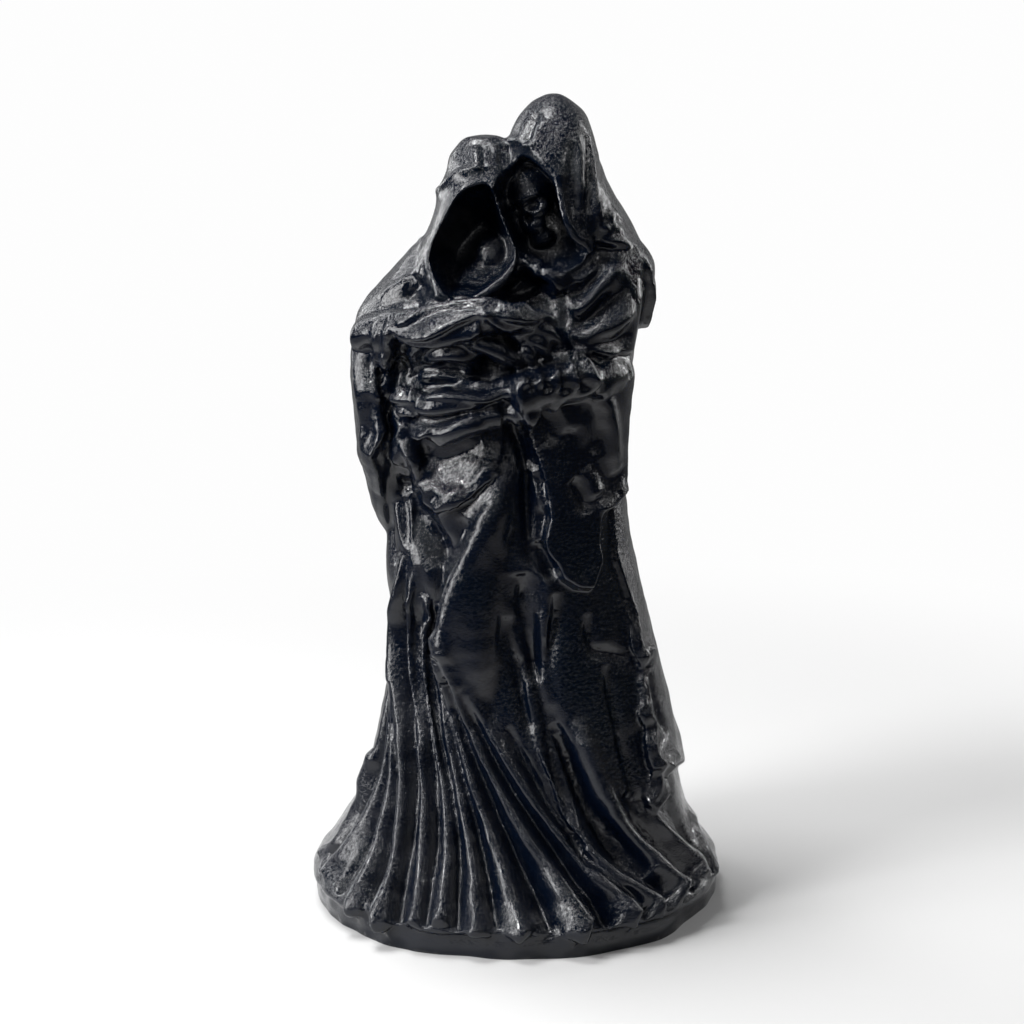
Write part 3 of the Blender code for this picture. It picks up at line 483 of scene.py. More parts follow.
hoodShapes = {
    "tall hood": (
        (145.0, 4.0, 19.0, -12.0, 15.0),
        (150.0, 0.0, 21.5, -17.0, 17.0),
        (156.0, -3.0, 22.3, -19.5, 18.0),
        (163.0, -5.0, 22.2, -19.5, 18.5),
        (170.0, -4.8, 21.8, -18.5, 18.5),
        (176.5, -3.6, 20.8, -16.8, 18.0),
        (182.0, -2.2, 19.5, -14.8, 16.5),
        (187.0, -0.6, 18.3, -12.0, 14.0),
        (190.5, 1.6, 16.6, -8.0, 11.0),
        (193.0, 4.2, 13.4, -4.0, 7.5),
        (194.5, 7.0, 10.6, -0.5, 4.0),
    ),
    "small hood": (
        (143.5, -19.0, -2.0, -16.0, 8.0),
        (147.0, -21.5, 0.0, -22.0, 11.0),
        (152.0, -23.2, 2.0, -25.0, 13.5),
        (157.0, -23.2, 2.6, -26.0, 15.0),
        (162.0, -21.4, 2.4, -26.0, 15.5),
        (167.0, -19.4, 2.0, -24.5, 15.0),
        (172.0, -18.0, 1.4, -21.5, 13.5),
        (177.0, -16.6, 1.0, -17.5, 11.0),
        (181.0, -15.6, 0.0, -13.0, 8.0),
        (183.8, -13.4, -2.0, -8.0, 4.0),
        (185.2, -11.4, -4.0, -6.0, 1.0),
    ),
}
mouthShapes = {
    "tall": {
        "outline": (
            (-2.5, 179.4), (-2, 181.1), (-0.8, 182.6), (1, 183.2), (2.1, 182.5), (5.4, 180), (8.7, 177),
            (9.6, 173.6), (10, 171), (11.1, 167), (12.5, 163.9), (14.7, 161.2), (16.9, 159.8),
            (16.3, 158.1), (14.7, 157.4), (11.9, 155.6), (8.1, 155.3), (3.7, 156.5), (1, 159),
            (-0.8, 163), (-3, 167.9), (-5.2, 171.9), (-5.1, 175.4), (-3.8, 178.1),
        ),
        "front": -19,
        "depth": 20,
        "lean": (3, -2),
    },
    "small": {
        "outline": (
            (-21.3, 161.5), (-19.8, 165.9), (-17.6, 169.8), (-15.5, 173.6), (-13.4, 176), (-10.3, 177.3),
            (-7.7, 178), (-6.4, 177.1), (-5.1, 173.8), (-3.8, 169.4), (-2.5, 165.4), (-1.2, 161.9),
            (-1.6, 158.4), (-4.3, 154.8), (-7.8, 151.9), (-11.3, 149.7), (-14.8, 149.3), (-17, 151.3),
            (-19.2, 154.8), (-21.3, 158.8),
        ),
        "front": -26,
        "depth": 24,
        "lean": (2.5, -4),
    },
}


def upperBodies():
    # the torsos are in one piece with the hoods before the mouths are cut, so the hollows stay empty
    columns = {**torsoShapes, **hoodShapes}
    made = fused("upper bodies", [column(name, rows) for name, rows in columns.items()], sizes["grain"])
    for name, mouth in mouthShapes.items():
        made = cutBy(made, mouthCutter(name, mouth["outline"], mouth["front"], mouth["depth"], mouth["lean"]))
    return made


skullShapes = {
    "tall skull": {"centre": (4.0, -4.2, 170.5), "size": 8.4, "turn": (10, -22, -24)},
    "small skull": {"centre": (-6.0, -7.0, 156.0), "size": 5.4, "turn": (16, 16, 28)},
}


def skull(name, centre, size, turn):
    spin = Euler([math.radians(a) for a in turn]).to_matrix()

    def bone(part, at, radii):
        place = Vector(centre) + spin @ Vector(at) * size
        return ball(part, place, [r * size for r in radii], turn)

    bones = [
        bone("brain case", (0, 0.25, 0.35), (0.78, 0.98, 0.85)),
        bone("cheeks", (0, -0.42, -0.25), (0.62, 0.42, 0.36)),
        bone("upper jaw", (0, -0.55, -0.62), (0.36, 0.34, 0.34)),
        bone("chin", (0, -0.45, -1.08), (0.34, 0.34, 0.26)),
        bone("brow", (0, -0.55, 0.18), (0.58, 0.26, 0.16)),
    ]
    made = fused(name, bones, sizes["skullGrain"])
    for x, z, wide, tall in ((-0.3, -0.06, 0.2, 0.2), (0.3, -0.06, 0.2, 0.2), (0, -0.38, 0.1, 0.16)):
        made = cutBy(made, bone("socket", (x, -0.85, z), (wide, 0.4, tall)))
    for k in range(5):
        made = cutBy(made, bone("gap between teeth", ((k - 2) * 0.12, -0.9, -0.78), (0.02, 0.2, 0.12)))
    return made


def fingers(name, roots, tips, lift, radius):
    made = []
    for k, (root, tip) in enumerate(zip(roots, tips)):
        a, b = np.array(root, float), np.array(tip, float)
        knuckle = a + 0.42 * (b - a) + np.array(lift)
        joint = a + 0.75 * (b - a) + 0.75 * np.array(lift)
        thick = (radius, radius * 1.2, radius * 0.95, radius * 0.85)
        made.append(limb(name + str(k), (a, knuckle, joint, b), thick, thick, 24, 16))
    return made


# Arms, sleeves and other limbs: path, then thickness up or sideways, then thickness in depth
limbShapes = {
    "small forearm": (
        ((-36, -8, 139), (-31, -17, 140), (-22, -24, 142.5), (-12, -28, 145.5), (-2, -28.5, 146),
            (7, -26, 143.5)),
        (5, 5.5, 5.0, 4.4, 3.8, 2.6),
        (5, 6, 5.5, 5, 4.5, 3.0),
    ),
    "small sleeve's lower edge": (
        ((-35, -14, 134), (-26, -22, 137), (-14, -27, 139), (-4, -28, 137.5), (2, -26, 134)),
        (3, 3.2, 3.0, 2.4, 1.6),
        (4, 4, 4, 3.5, 2),
    ),
    "tall forearm": (
        ((22.5, -9, 131.5), (18, -17, 131.5), (10, -23, 131), (0, -28, 128.6), (-12, -29, 126.6),
            (-24, -26, 124.5)),
        (5, 5, 4.6, 3.8, 3.6, 3.0),
        (6, 6, 5.5, 4.5, 4, 4),
    ),
    "tall sleeve's lower edge": (
        ((4, -27, 124), (-6, -29, 122.5), (-16, -28, 120.5), (-25, -24, 119)),
        (2.6, 3.0, 3.2, 2.4),
        (3, 3.6, 3.6, 3),
    ),
    "thigh": (
        ((2, -12, 112), (-2, -15, 102), (-7, -18, 86), (-10, -20, 66), (-8.5, -20.5, 50), (-3, -20.5, 34)),
        (3.5, 6, 7.8, 8.8, 8.5, 7),
        (8, 9.5, 11, 11.5, 9.5, 8),
    ),
    "small sleeve's middle": (
        ((-30, -17, 137), (-22, -21.5, 137.5), (-12, -24, 139), (-3, -24.5, 138)),
        (5, 6, 6, 4),
        (5, 5.5, 5.5, 4),
    ),
    "cloth beside the hanging sleeve": (
        ((-26, -11, 138), (-26.5, -12, 126), (-25.5, -12, 114), (-24, -12, 102)),
        (5, 5, 4.6, 3.6),
        (7, 8, 8, 6),
    ),
    "small hanging sleeve": (
        ((-34.5, -3, 141), (-34, -5, 125), (-32.5, -4, 110), (-30.5, -2, 97), (-28.5, 0, 86)),
        (5, 5.6, 5.6, 4.6, 2.5),
        (13, 15, 13.5, 10, 5),
    ),
    "tall hood's fall": (((15, -8, 176), (19, -6, 168), (23, -4, 160), (27, -3, 152)), (5, 5, 5, 4),
        (7, 8, 9, 8)),
    "small wrist": (((-4, -27, 146), (0, -28, 144), (3.5, -27.5, 142)), (3.2, 3.2, 3.4), (2.4, 2.4, 2.2)),
}


handShapes = {
    "tall finger": {
        "roots": ((-21, -27.5, 127.6), (-21, -27.5, 125.6), (-20, -27, 123.4)),
        "tips": ((-28.0, -24.5, 128.4), (-29.5, -23.5, 125.8), (-28, -23.5, 122.8)),
        "lift": (0, -1.4, 0.7),
        "radius": 1.25,
    },
    "small finger": {
        "roots": ((2, -27, 146), (3, -28, 144), (2.5, -28, 141.5), (1.0, -27, 139)),
        "tips": ((9.5, -24.5, 143.5), (10.5, -24.5, 138.5), (8.0, -25, 135.2), (4.0, -25.5, 133.6)),
        "lift": (0.8, -1.6, 1.2),
        "radius": 1.4,
    },
}


# Rounded lumps: centre and radii
lumpShapes = {
    "chest cloth": ((-12, -12, 134), (19, 15.5, 17)),
    "tall shoulder": ((24, 0, 154), (9, 12, 8)),
}


def forms():
    pieces = [robe(), base(), upperBodies()]
    pieces += [limb(name, *shape) for name, shape in limbShapes.items()]
    pieces += [skull(name, **shape) for name, shape in skullShapes.items()]
    pieces += [ball(name, *shape) for name, shape in lumpShapes.items()]
    for name, hand in handShapes.items():
        pieces += fingers(name, **hand)
    return pieces


# Folds of the robe, left to right: width, height and the ridge's line down to the hem
skirtRidges = (
    (2.0, 1.6, ((-29.3, 64.9), (-30.5, 50.1), (-33.5, 34.4), (-38.6, 20), (-44.5, 9.6), (-49.2, 4.1))),
    (2.2, 2.0, ((-29, 58.8), (-29.5, 45.7), (-31.5, 32.5), (-35.6, 20.6), (-40.6, 11.9), (-47.5, 3.3))),
    (2.2, 2.4, ((-28.2, 53.2), (-28.4, 41.4), (-29.5, 29.3), (-31.8, 19.4), (-35.3, 10.1), (-40.7, 0.6))),
    (3.0, 3.8, ((-27.2, 86), (-27.8, 76), (-28.6, 67.9), (-28.4, 53.9), (-27.1, 38.9), (-26.5, 26.6),
        (-27.1, 17.4), (-29.3, 7.9), (-33.4, 0.6))),
    (2.2, 2.4, ((-25.8, 102), (-25.6, 84.8), (-25.2, 70.2), (-24.3, 54.5), (-22.9, 42.9), (-21.9, 28.5),
        (-21.9, 18.5), (-22.7, 9.2), (-24.2, 1.2))),
    (2.4, 2.6, ((-22.4, 77), (-21.6, 66.9), (-20.5, 54.6), (-18.9, 44.8), (-17.2, 35.5), (-16.1, 25.6),
        (-15.8, 17), (-16.6, 8.8), (-18.4, 2))),
    (2.2, 2.4, ((-20.0, 75), (-18.9, 63.5), (-17.5, 52.6), (-15.7, 42.4), (-13.7, 32.9), (-11.7, 23.3),
        (-10.1, 13.6), (-9.7, 6.1), (-9.9, 0.6))),
    (2.4, 2.6, ((-19.0, 73), (-17.6, 62), (-15.2, 49.1), (-12.3, 39.3), (-9.2, 29.8), (-5.9, 20.3),
        (-2.4, 11.6), (0.1, 5.7), (2.6, 0.6))),
    (3.2, 4.0, ((-18.2, 71), (-15.8, 60), (-11.8, 48.5), (-6.6, 37.1), (-2.2, 28.7), (2.9, 20.4),
        (8.2, 13.7), (12.8, 6.3), (17.6, 0.8))),
    (3.0, 3.4, ((-12.2, 56), (-5.9, 44.3), (0.1, 34.9), (6.5, 26.2), (12.1, 19.3), (18.1, 12.9),
        (24.5, 7.2), (30.2, 2))),
    (2.4, 2.4, ((3.3, 46.6), (7.5, 35.4), (12.2, 24.5), (17.8, 16.5), (24.6, 10.1), (31.7, 6.1),
        (36.4, 3))),
    (3.4, 3.6, ((15, 48), (18.1, 38.3), (21.4, 29.7), (25.7, 20.5), (31, 14.3), (36.8, 8.7), (41.9, 4.1))),
    (2.6, 2.2, ((31.9, 24.6), (35.7, 18.5), (39.9, 13.3), (44.4, 8.3), (47.4, 4.2))),
    (2.2, 1.6, ((41.5, 25.2), (44.4, 13.6), (47, 7.9), (49.4, 3.3))),
)
backRidges = (
    (2.8, 2.2, ((-33, 60), (-36, 30), (-47, 2))),
    (3.4, 3.4, ((-28, 110), (-27, 70), (-30, 30), (-40, 2))),
    (2.6, 2.0, ((-22, 90), (-21, 75), (-24, 36), (-31, 2))),
    (3.6, 3.6, ((-15, 120), (-16, 70), (-17, 30), (-21, 2))),
    (2.4, 1.8, ((-9, 80), (-9, 70), (-9.5, 30), (-11, 2))),
    (3.4, 3.4, ((-2, 120), (-2, 60), (-1.5, 30), (0, 2))),
    (2.6, 2.0, ((5, 88), (6, 75), (7, 30), (11, 2))),
    (3.6, 3.6, ((10, 122), (11.5, 70), (14, 30), (20, 2))),
    (2.8, 2.4, ((18, 94), (19, 75), (22, 32), (31, 2))),
    (3.4, 3.2, ((23, 118), (25, 70), (29.5, 30), (39.5, 2))),
    (2.8, 2.2, ((28, 60), (35, 28), (46, 2))),
)
# Strokes of the front: kind, width, height and line
frontStrokes = {
    "creases between the knees and the cape": (
        ("groove", (1.5, 4.2), (1.5, 4.4), ((9, 52), (10.8, 43), (14.2, 32), (19.6, 22.4), (26, 14.6),
            (32.5, 9.4))),
        ("groove", 1.8, 2.9, ((-2.3, 73.3), (-1.2, 66.7), (0.7, 59.6), (2, 52.5), (4.1, 43.9),
            (7, 35.2), (10.4, 27.1), (14.6, 19.1), (19.5, 13.4))),
        ("groove", 1.5, 2.2, ((4.5, 76.1), (4.7, 66.7), (5.1, 58.8), (7, 49.7), (9.1, 41.1),
            (11.2, 32.3), (13.9, 24.2), (17.1, 17.3))),
        ("groove", 2.3, 2.9, ((1.3, 84.1), (1.6, 78.3), (2.2, 71), (3.7, 63), (4.7, 56.6))),
        ("groove", 1.6, 2.2, ((9.3, 78.9), (9.5, 73), (8.6, 66.4), (8.2, 60.9), (9.1, 53.2),
            (10.4, 43.9))),
        ("crest", 1.5, 1.3, ((4, 84.5), (6.9, 82.1), (8, 77.4), (7.2, 70.1), (7.7, 61.7), (9.4, 51.1),
            (11.1, 40.9))),
        ("crest", 1.6, 1, ((-0.4, 71.2), (1.9, 61.3), (3.3, 52.4), (5.6, 42.9), (8.3, 34.6),
            (11.8, 26.5))),
        ("groove", 1.3, 1.6, ((17.6, 72.7), (17.9, 67.7), (19.2, 64), (23.2, 62.4), (27.6, 60.6))),
        ("groove", 1.4, 1.8, ((22.5, 60.3), (22.9, 54.5), (24.4, 47.3), (25.8, 40.9), (28.3, 31.4),
            (29.7, 26.8))),
        ("groove", 1.7, 1.8, ((26.4, 29.1), (29, 26.1), (31.6, 26.1))),
    ),
    "swag and the fold from hip to knee": (
        ("groove", 1.7, 3.0, ((-27, 100), (-26.6, 84), (-25.6, 66), (-24.6, 52), (-24, 40))),
        ("groove", 1.4, 2.0, ((-23.4, 84), (-22.2, 70), (-20.4, 56), (-18.4, 44), (-15.6, 32))),
        ("ridge", 3.6, 3.4, ((-3.2, 112), (-3.0, 106), (-5.2, 99.5), (-9.0, 92), (-12.2, 85), (-14.6, 77),
            (-16.2, 70), (-17.4, 63), (-17.2, 56))),
        ("groove", 3.4, 3.7, ((-22.4, 99), (-20.6, 92), (-18.6, 85), (-19.2, 77), (-20.6, 68),
            (-20.4, 60))),
        ("edge", 3.4, 1.5, ((-15, 84.8), (-17.8, 77), (-18.8, 69.9), (-18.6, 62.2))),
        ("edge", 3, 2.1, ((-27.6, 114.6), (-25.4, 110.1), (-24.4, 106.5), (-21.9, 101.6),
            (-19.7, 97.9), (-14.6, 99.8), (-9.6, 102.7), (-6.3, 107.1), (-4, 111), (-2.7, 114.5))),
        ("crest", 1.7, 1.3, ((-19.9, 98.8), (-14.6, 100.7), (-10.2, 103.4), (-6.9, 107.6), (-4.8, 111))),
        ("ridge", 1.8, 1.3, ((-21.4, 102.2), (-19.1, 103.5), (-15.8, 102.9), (-11.8, 104))),
        ("crest", 1.7, 1.3, ((-27.6, 114), (-24.8, 110.1), (-22, 108), (-19.2, 107.3))),
        ("ridge", 2.1, 1.4, ((-23.6, 116.8), (-20.8, 114.2), (-15, 118.5), (-10.6, 120.8), (-7.1, 121.7))),
        ("groove", 2.3, 1.4, ((-23.1, 112.1), (-18.6, 110.3), (-13, 112), (-7.4, 115.4))),
        ("groove", 3, 2.6, ((-25.4, 101.7), (-22.6, 95.5), (-19.2, 89.1), (-16.4, 84.9))),
        ("groove", 2.3, 2, ((-10.7, 96.8), (-13, 91.4), (-15.3, 86.1))),
        ("groove", 1.5, 1.6, ((-26, 111.8), (-26.4, 106.3), (-25.4, 99.3), (-23.2, 91.5), (-20.4, 83.9))),
        ("crest", 1.8, 1.5, ((-28.2, 112.7), (-28.8, 105.8), (-28.3, 97.3), (-27.2, 89), (-26.1, 78.6))),
        ("groove", 1.5, 1.4, ((-29.8, 108.1), (-30.6, 100.9), (-30.5, 90.1), (-29.3, 81.7))),
    ),
    "edge of the panel in the middle": (
        ("groove", 1.4, 2.4, ((-2.3, 123.9), (-0.2, 117.5), (1.9, 111.9), (3, 107), (2.9, 101),
            (3.1, 93.2), (3.8, 85.3))),
        ("crest", 1.3, 1.6, ((-1, 130.8), (-0.1, 126.2), (0.5, 120.2), (2.5, 115.8), (3.8, 110.3),
            (4.6, 105.2), (6.3, 100.3), (7, 98.9))),
        ("groove", 1.3, 1.8, ((0.7, 123.8), (2.5, 120.5), (4.1, 115.3), (5.1, 110.3), (6.2, 105.9),
            (7.3, 101.9), (7.6, 98.3))),
    ),
    "tall figure's sleeve panel": (
        ("crest", 1.5, 1.8, ((0.3, 130.8), (4.2, 131.2), (9.1, 132.2), (13.5, 133.5), (16.8, 133.9),
            (19, 132.9))),
        ("crest", 1.3, 1.6, ((2.4, 130), (2, 131.8), (2.6, 132.2))),
        ("crest", 1.3, 1.6, ((5.8, 129.7), (5.6, 131.8), (5.8, 133.5))),
        ("crest", 1.4, 1.6, ((10.8, 129.1), (9.6, 132.1), (9.4, 134.3))),
        ("crest", 1.4, 1.8, ((15.1, 128.9), (13.5, 132.5), (12.4, 135.3))),
        ("crest", 1.5, 1.8, ((20.1, 129), (17.3, 132.8), (14.6, 135.5))),
        ("groove", 1.3, 1.6, ((4, 129.5), (3.9, 131.5), (4.2, 133.1))),
        ("groove", 1.3, 1.6, ((7.8, 129.1), (7.4, 131.7), (7.5, 133.5))),
        ("groove", 1.3, 1.8, ((12.6, 128), (11.4, 131.3), (10.8, 134.3))),
        ("groove", 1.3, 1.8, ((17.3, 128.1), (15.5, 131.8), (13.5, 135.1))),
        ("ridge", 2.1, 1.5, ((7.5, 125), (9.9, 124.2), (11.9, 120.9), (13, 117.5))),
        ("groove", 2.1, 1.3, ((5.8, 123.1), (7.5, 119.9), (8.1, 114.3))),
        ("ridge", 2.5, 1.8, ((20.1, 127.9), (21.8, 123.2), (23, 117.5), (23.6, 111.8), (24.7, 105.9))),
        ("groove", 2.3, 1.8, ((17.3, 127.1), (19, 121.5), (19.6, 115.9), (18.5, 111.3))),
        ("groove", 1.8, 1.8, ((13.6, 106.5), (15.8, 102.5), (17.8, 97.4))),
        ("ridge", 2.3, 1.3, ((16.4, 108.7), (18.6, 104.2), (19.7, 100.8))),
        ("crest", 1.3, 1, ((25.7, 104.4), (25.2, 100.7), (22.3, 98.5), (19.7, 98.7))),
        ("groove", 1.7, 2, ((4.8, 91.4), (6.3, 88.1), (8.2, 85.2), (9.9, 82.2))),
    ),
    "tall figure's shoulder": (
        ("ridge", 2, 2, ((14.7, 144.6), (18, 148.9), (21.9, 153), (25.9, 156.4))),
        ("groove", 2, 2, ((14.1, 141.4), (18, 144.8), (23, 148.5), (27.6, 151.1))),
        ("ridge", 2.3, 2.1, ((14.7, 138.4), (18.6, 140.7), (23.5, 142.5), (28.7, 146.4))),
        ("groove", 1.8, 1.7, ((14.1, 137.5), (18.6, 138.1), (24.2, 138.5), (28.2, 140.5))),
        ("ridge", 1.7, 1.7, ((13.6, 136.6), (19, 137.2), (24.3, 134.4))),
        ("groove", 1.7, 1.5, ((14.6, 136), (18.4, 135.5), (22.3, 133.1))),
        ("ridge", 1.7, 1.4, ((14.7, 151.9), (17.4, 154.3), (20.3, 155.4))),
        ("groove", 1.7, 1.4, ((14.2, 148.3), (17.5, 152.1), (21.4, 155.4))),
        ("groove", 1.6, 3, ((11.1, 155.6), (12, 152.2), (12.5, 147.1), (12.9, 142.9), (13.4, 139.1))),
        ("ridge", 1.7, 1.8, ((6.4, 155), (9.1, 153.6), (10.8, 150.1))),
        ("crest", 1.6, 1.2, ((8.6, 152.5), (10.1, 147.2), (10.3, 142.9), (10.1, 138.5))),
        ("groove", 1.6, 1.6, ((19.2, 160.3), (23.6, 159.8), (28.8, 158.9))),
        ("ridge", 1.7, 1.2, ((19.1, 161.5), (24.2, 160.8), (29.4, 159.2))),
        ("groove", 1.5, 1, ((20.4, 170.8), (23, 171.9))),
        ("ridge", 1.6, 1, ((20.2, 171.2), (22.7, 171.7))),
        ("ridge", 1.6, 1, ((21.8, 167.1), (24.6, 167.5))),
        ("ridge", 1.5, 0.9, ((20.5, 164.1), (22.7, 165.2), (26, 164.1))),
        ("groove", 1.5, 0.9, ((21.3, 165.4), (24.1, 166), (26.6, 164.7))),
    ),
    "small figure's sleeve and shoulder": (
        ("crest", 2.1, 1.4, ((-37.1, 142.7), (-38, 138), (-37.3, 129), (-36.3, 117.7), (-35.5, 108))),
        ("groove", 2, 2.1, ((-34.5, 143.5), (-34.9, 136.4), (-34.2, 128.3), (-34.3, 117.8),
            (-34.5, 111.7))),
        ("crest", 2, 1.5, ((-32.4, 143.9), (-33.2, 137.1), (-33, 128), (-32.7, 117.9), (-33.7, 110.6))),
        ("groove", 1.7, 2, ((-30.8, 144.2), (-31.9, 139.1), (-32.2, 131.2), (-31.3, 123.9),
            (-31.6, 117.6))),
        ("crest", 1.8, 1.3, ((-29.1, 144.4), (-30.4, 139.4), (-30.9, 131.1), (-29.7, 125.7))),
        ("edge", 3.4, 2, ((-31.8, 99.5), (-32, 105.3), (-33.4, 110.7), (-31.9, 115.9),
            (-30.6, 123.2), (-29.5, 128.9), (-28.9, 137.2), (-29.1, 144))),
        ("groove", 2, 2.2, ((-28.7, 142), (-28.2, 136.1), (-28.8, 127.9), (-30, 121.9))),
        ("ridge", 2, 1.5, ((-26.6, 150.7), (-23.8, 152.7), (-21.5, 155.3))),
        ("groove", 1.7, 1.5, ((-26.6, 148.6), (-23.4, 149.9), (-21.1, 152))),
        ("ridge", 1.8, 1.3, ((-32.6, 147.1), (-28, 150.2), (-25.2, 151.1))),
        ("groove", 1.6, 1.3, ((-33.1, 145.3), (-28, 147.3), (-24.6, 148.6))),
        ("ridge", 1.7, 1.2, ((-31.1, 145.6), (-26.8, 145.5), (-22.9, 147.3))),
        ("ridge", 1.8, 1.5, ((-23.5, 151.8), (-21.8, 149.4), (-18.9, 147.9), (-16, 149))),
        ("groove", 1.7, 1.4, ((-24.6, 150.7), (-22.9, 147.8), (-19.9, 148.1))),
    ),
    "arms and chest cloth": (
        ("crest", 2.1, 1.7, ((-29.1, 143.4), (-25.3, 144.9), (-19.8, 147.6), (-14.9, 148.9),
            (-8.4, 149.5), (-3, 149.8))),
        ("groove", 1.5, 1.5, ((-28.1, 142.9), (-23.6, 144.6), (-18.7, 147), (-12.7, 148.4),
            (-7.3, 148.6))),
        ("edge", 2.9, 2.2, ((-27.6, 141), (-21.5, 141.9), (-16, 144.1), (-11.6, 146), (-7.8, 146.9),
            (-4, 144.7), (-0.2, 142.5))),
        ("crest", 1.7, 1.3, ((-20.9, 141.6), (-16, 142.6), (-10.5, 143.6), (-5.6, 145.3))),
        ("edge", 2.6, 1.8, ((-27, 139.5), (-21.5, 140.3), (-16, 140.9), (-10.6, 141.1), (-5.1, 140.3))),
        ("ridge", 2.1, 1.5, ((-24.9, 138.3), (-19.9, 139.8), (-12.7, 140.6), (-6.2, 139.9),
            (-1.8, 138.7))),
        ("groove", 1.6, 2, ((-21.6, 133.8), (-21.4, 136.7), (-17.7, 139.1), (-12.7, 139.4),
            (-8.9, 137.2), (-5.7, 134.5), (-2.9, 133.6))),
        ("ridge", 2, 1.7, ((-20, 134), (-19.4, 136.2), (-16, 137.4), (-12.8, 136.6), (-10.1, 134.4),
            (-8.4, 133.1))),
        ("groove", 1.6, 1.3, ((-17.8, 132.9), (-16.1, 134.8), (-13.9, 134.2), (-11.7, 132.5))),
        ("groove", 2.1, 2.6, ((-27.9, 128.7), (-25, 130.5), (-21.7, 132.6), (-15, 132.3),
            (-8.4, 131.4), (-2.9, 131.3))),
        ("crest", 1.6, 1.8, ((-23.4, 130.2), (-20.6, 131.4), (-15, 131.4), (-9.5, 130.7),
            (-5.1, 131.2), (-1.6, 131.7))),
        ("groove", 1.5, 1.7, ((-24.5, 128.3), (-20.6, 129.1), (-13.9, 129.8), (-7.3, 130.1),
            (-1.8, 130.8))),
        ("crest", 1.7, 2, ((-31, 124), (-26.6, 127.7), (-21.7, 127.2), (-12.7, 128.7), (-5.1, 128.9),
            (-0.2, 130))),
        ("edge", 2.6, 1.5, ((-25.5, 125.3), (-19.9, 126.7), (-12.7, 127.2), (-6.2, 126.6), (-1.3, 127))),
        ("ridge", 2.4, 1.3, ((-25, 124.1), (-19.4, 124.6), (-12.8, 125.6), (-7.3, 126.4), (-2.9, 126.6))),
        ("groove", 1.5, 2, ((-24.5, 119.8), (-20, 121.1), (-13.9, 123.1), (-9.5, 124.5),
            (-5.1, 126.4), (-2.1, 126.2), (-0.8, 124.4))),
        ("ridge", 2.1, 1.4, ((-24.5, 119.1), (-19.4, 120.1), (-13.9, 121.8), (-8.4, 123.9),
            (-2.9, 124.8))),
        ("edge", 2.6, 2, ((-25.9, 115.8), (-21.6, 118.2), (-18.9, 118.5), (-14.4, 120.6),
            (-8.4, 122.3), (-2.4, 123.6))),
        ("groove", 1.8, 2, ((-26.5, 139.8), (-27.1, 134.9), (-26.2, 130.9))),
        ("crest", 1.6, 1.3, ((-3, 149.8), (0.4, 148.1), (4.2, 150.2), (8, 151.7))),
        ("groove", 1.6, 1.8, ((-4, 150.9), (0.4, 150.1), (4.7, 151.3), (8.6, 153.1))),
        ("edge", 2.4, 1.8, ((-5.1, 147.1), (-0.8, 146), (3.6, 145.3), (6.9, 145.7))),
    ),
    "hoods": (
        ("groove", 1.7, 1.8, ((5, 191.3), (4.1, 188.9), (3.2, 186.1), (2.5, 183.3))),
        ("ridge", 1.8, 1.1, ((6.8, 190.3), (5.4, 187.5), (4.1, 184.6), (3.6, 183.2))),
        ("ridge", 1.8, 1.3, ((17.6, 187), (18, 180), (18.4, 173.5), (19.1, 168.3), (18.6, 163))),
        ("groove", 1.5, 1.1, ((16.9, 186), (17.1, 179.8), (17.3, 173.6), (17.3, 168.4))),
        ("ridge", 1.5, 0.9, ((15.1, 186.2), (15.4, 181.2), (15.4, 175.3), (15.5, 169.4))),
        ("groove", 1.4, 0.9, ((13.3, 185.1), (13.8, 180.1), (14.1, 174.5), (14.6, 168.6))),
        ("groove", 1.5, 1, ((11.4, 177.3), (11.5, 173.9), (12.6, 169.6), (14.2, 165.6), (16, 162.9))),
        ("crest", 1.3, 1.9, ((-3.4, 181.6), (-1.8, 184), (1, 184.8), (3.2, 184), (6.6, 181.4), (10, 178.2),
            (11, 174), (11.5, 171), (12.5, 167.4), (13.9, 164.9), (15.8, 162.6), (18, 161))),
        ("crest", 1.3, 1.6, ((-22.4, 158.4), (-22.6, 161.5), (-21, 166.4), (-18.8, 170.6), (-16.6, 174.6),
            (-14, 177.2), (-10.6, 178.6), (-7.4, 179.4))),
        ("crest", 1.3, 1.5, ((-0.2, 162.4), (-0.4, 158), (-3.2, 153.8), (-7, 150.8), (-11, 148.6),
            (-15.4, 148.2), (-18.2, 150.8), (-20.6, 154.6))),
        ("ridge", 1.5, 1.3, ((18.7, 162.9), (17.4, 159.2), (14.7, 156.5), (11.6, 155.6), (8.1, 154.9),
            (5, 156.3))),
        ("groove", 1.3, 1.2, ((19.6, 162.3), (18.7, 158.4), (15.6, 155.5), (12.4, 154.7))),
        ("ridge", 1.4, 1.2, ((-9.6, 183.9), (-8.7, 181.2), (-8.5, 178.3))),
        ("groove", 1.3, 1.3, ((-7.8, 184.4), (-7.6, 181.3), (-7.2, 179))),
        ("ridge", 1.3, 1.2, ((-6.9, 184.1), (-6.5, 181.2), (-6.2, 179))),
        ("groove", 1.3, 1.2, ((-5.9, 184.1), (-5.6, 181.3), (-5.3, 179.4))),
        ("ridge", 1.3, 1.2, ((-4.7, 184), (-4.5, 181.3), (-4.3, 179.3))),
        ("groove", 1.3, 1.3, ((-3.6, 183.6), (-3.6, 181.2), (-3.4, 179.6))),
        ("ridge", 1.8, 1.3, ((0.1, 155.1), (2.8, 157.2), (5, 155.9), (6.3, 154.2))),
    ),
    "lower edge of the cape on the right": (
        ("crest", 1.4, 1.8, ((22.9, 81.5), (25.1, 74), (27, 67.3), (29.1, 60), (29.7, 53.6),
            (29.8, 49.5), (30.9, 45.3), (32.1, 41.5), (32.8, 37.4), (33.5, 33.5), (32.7, 30.4),
            (31.9, 25.4))),
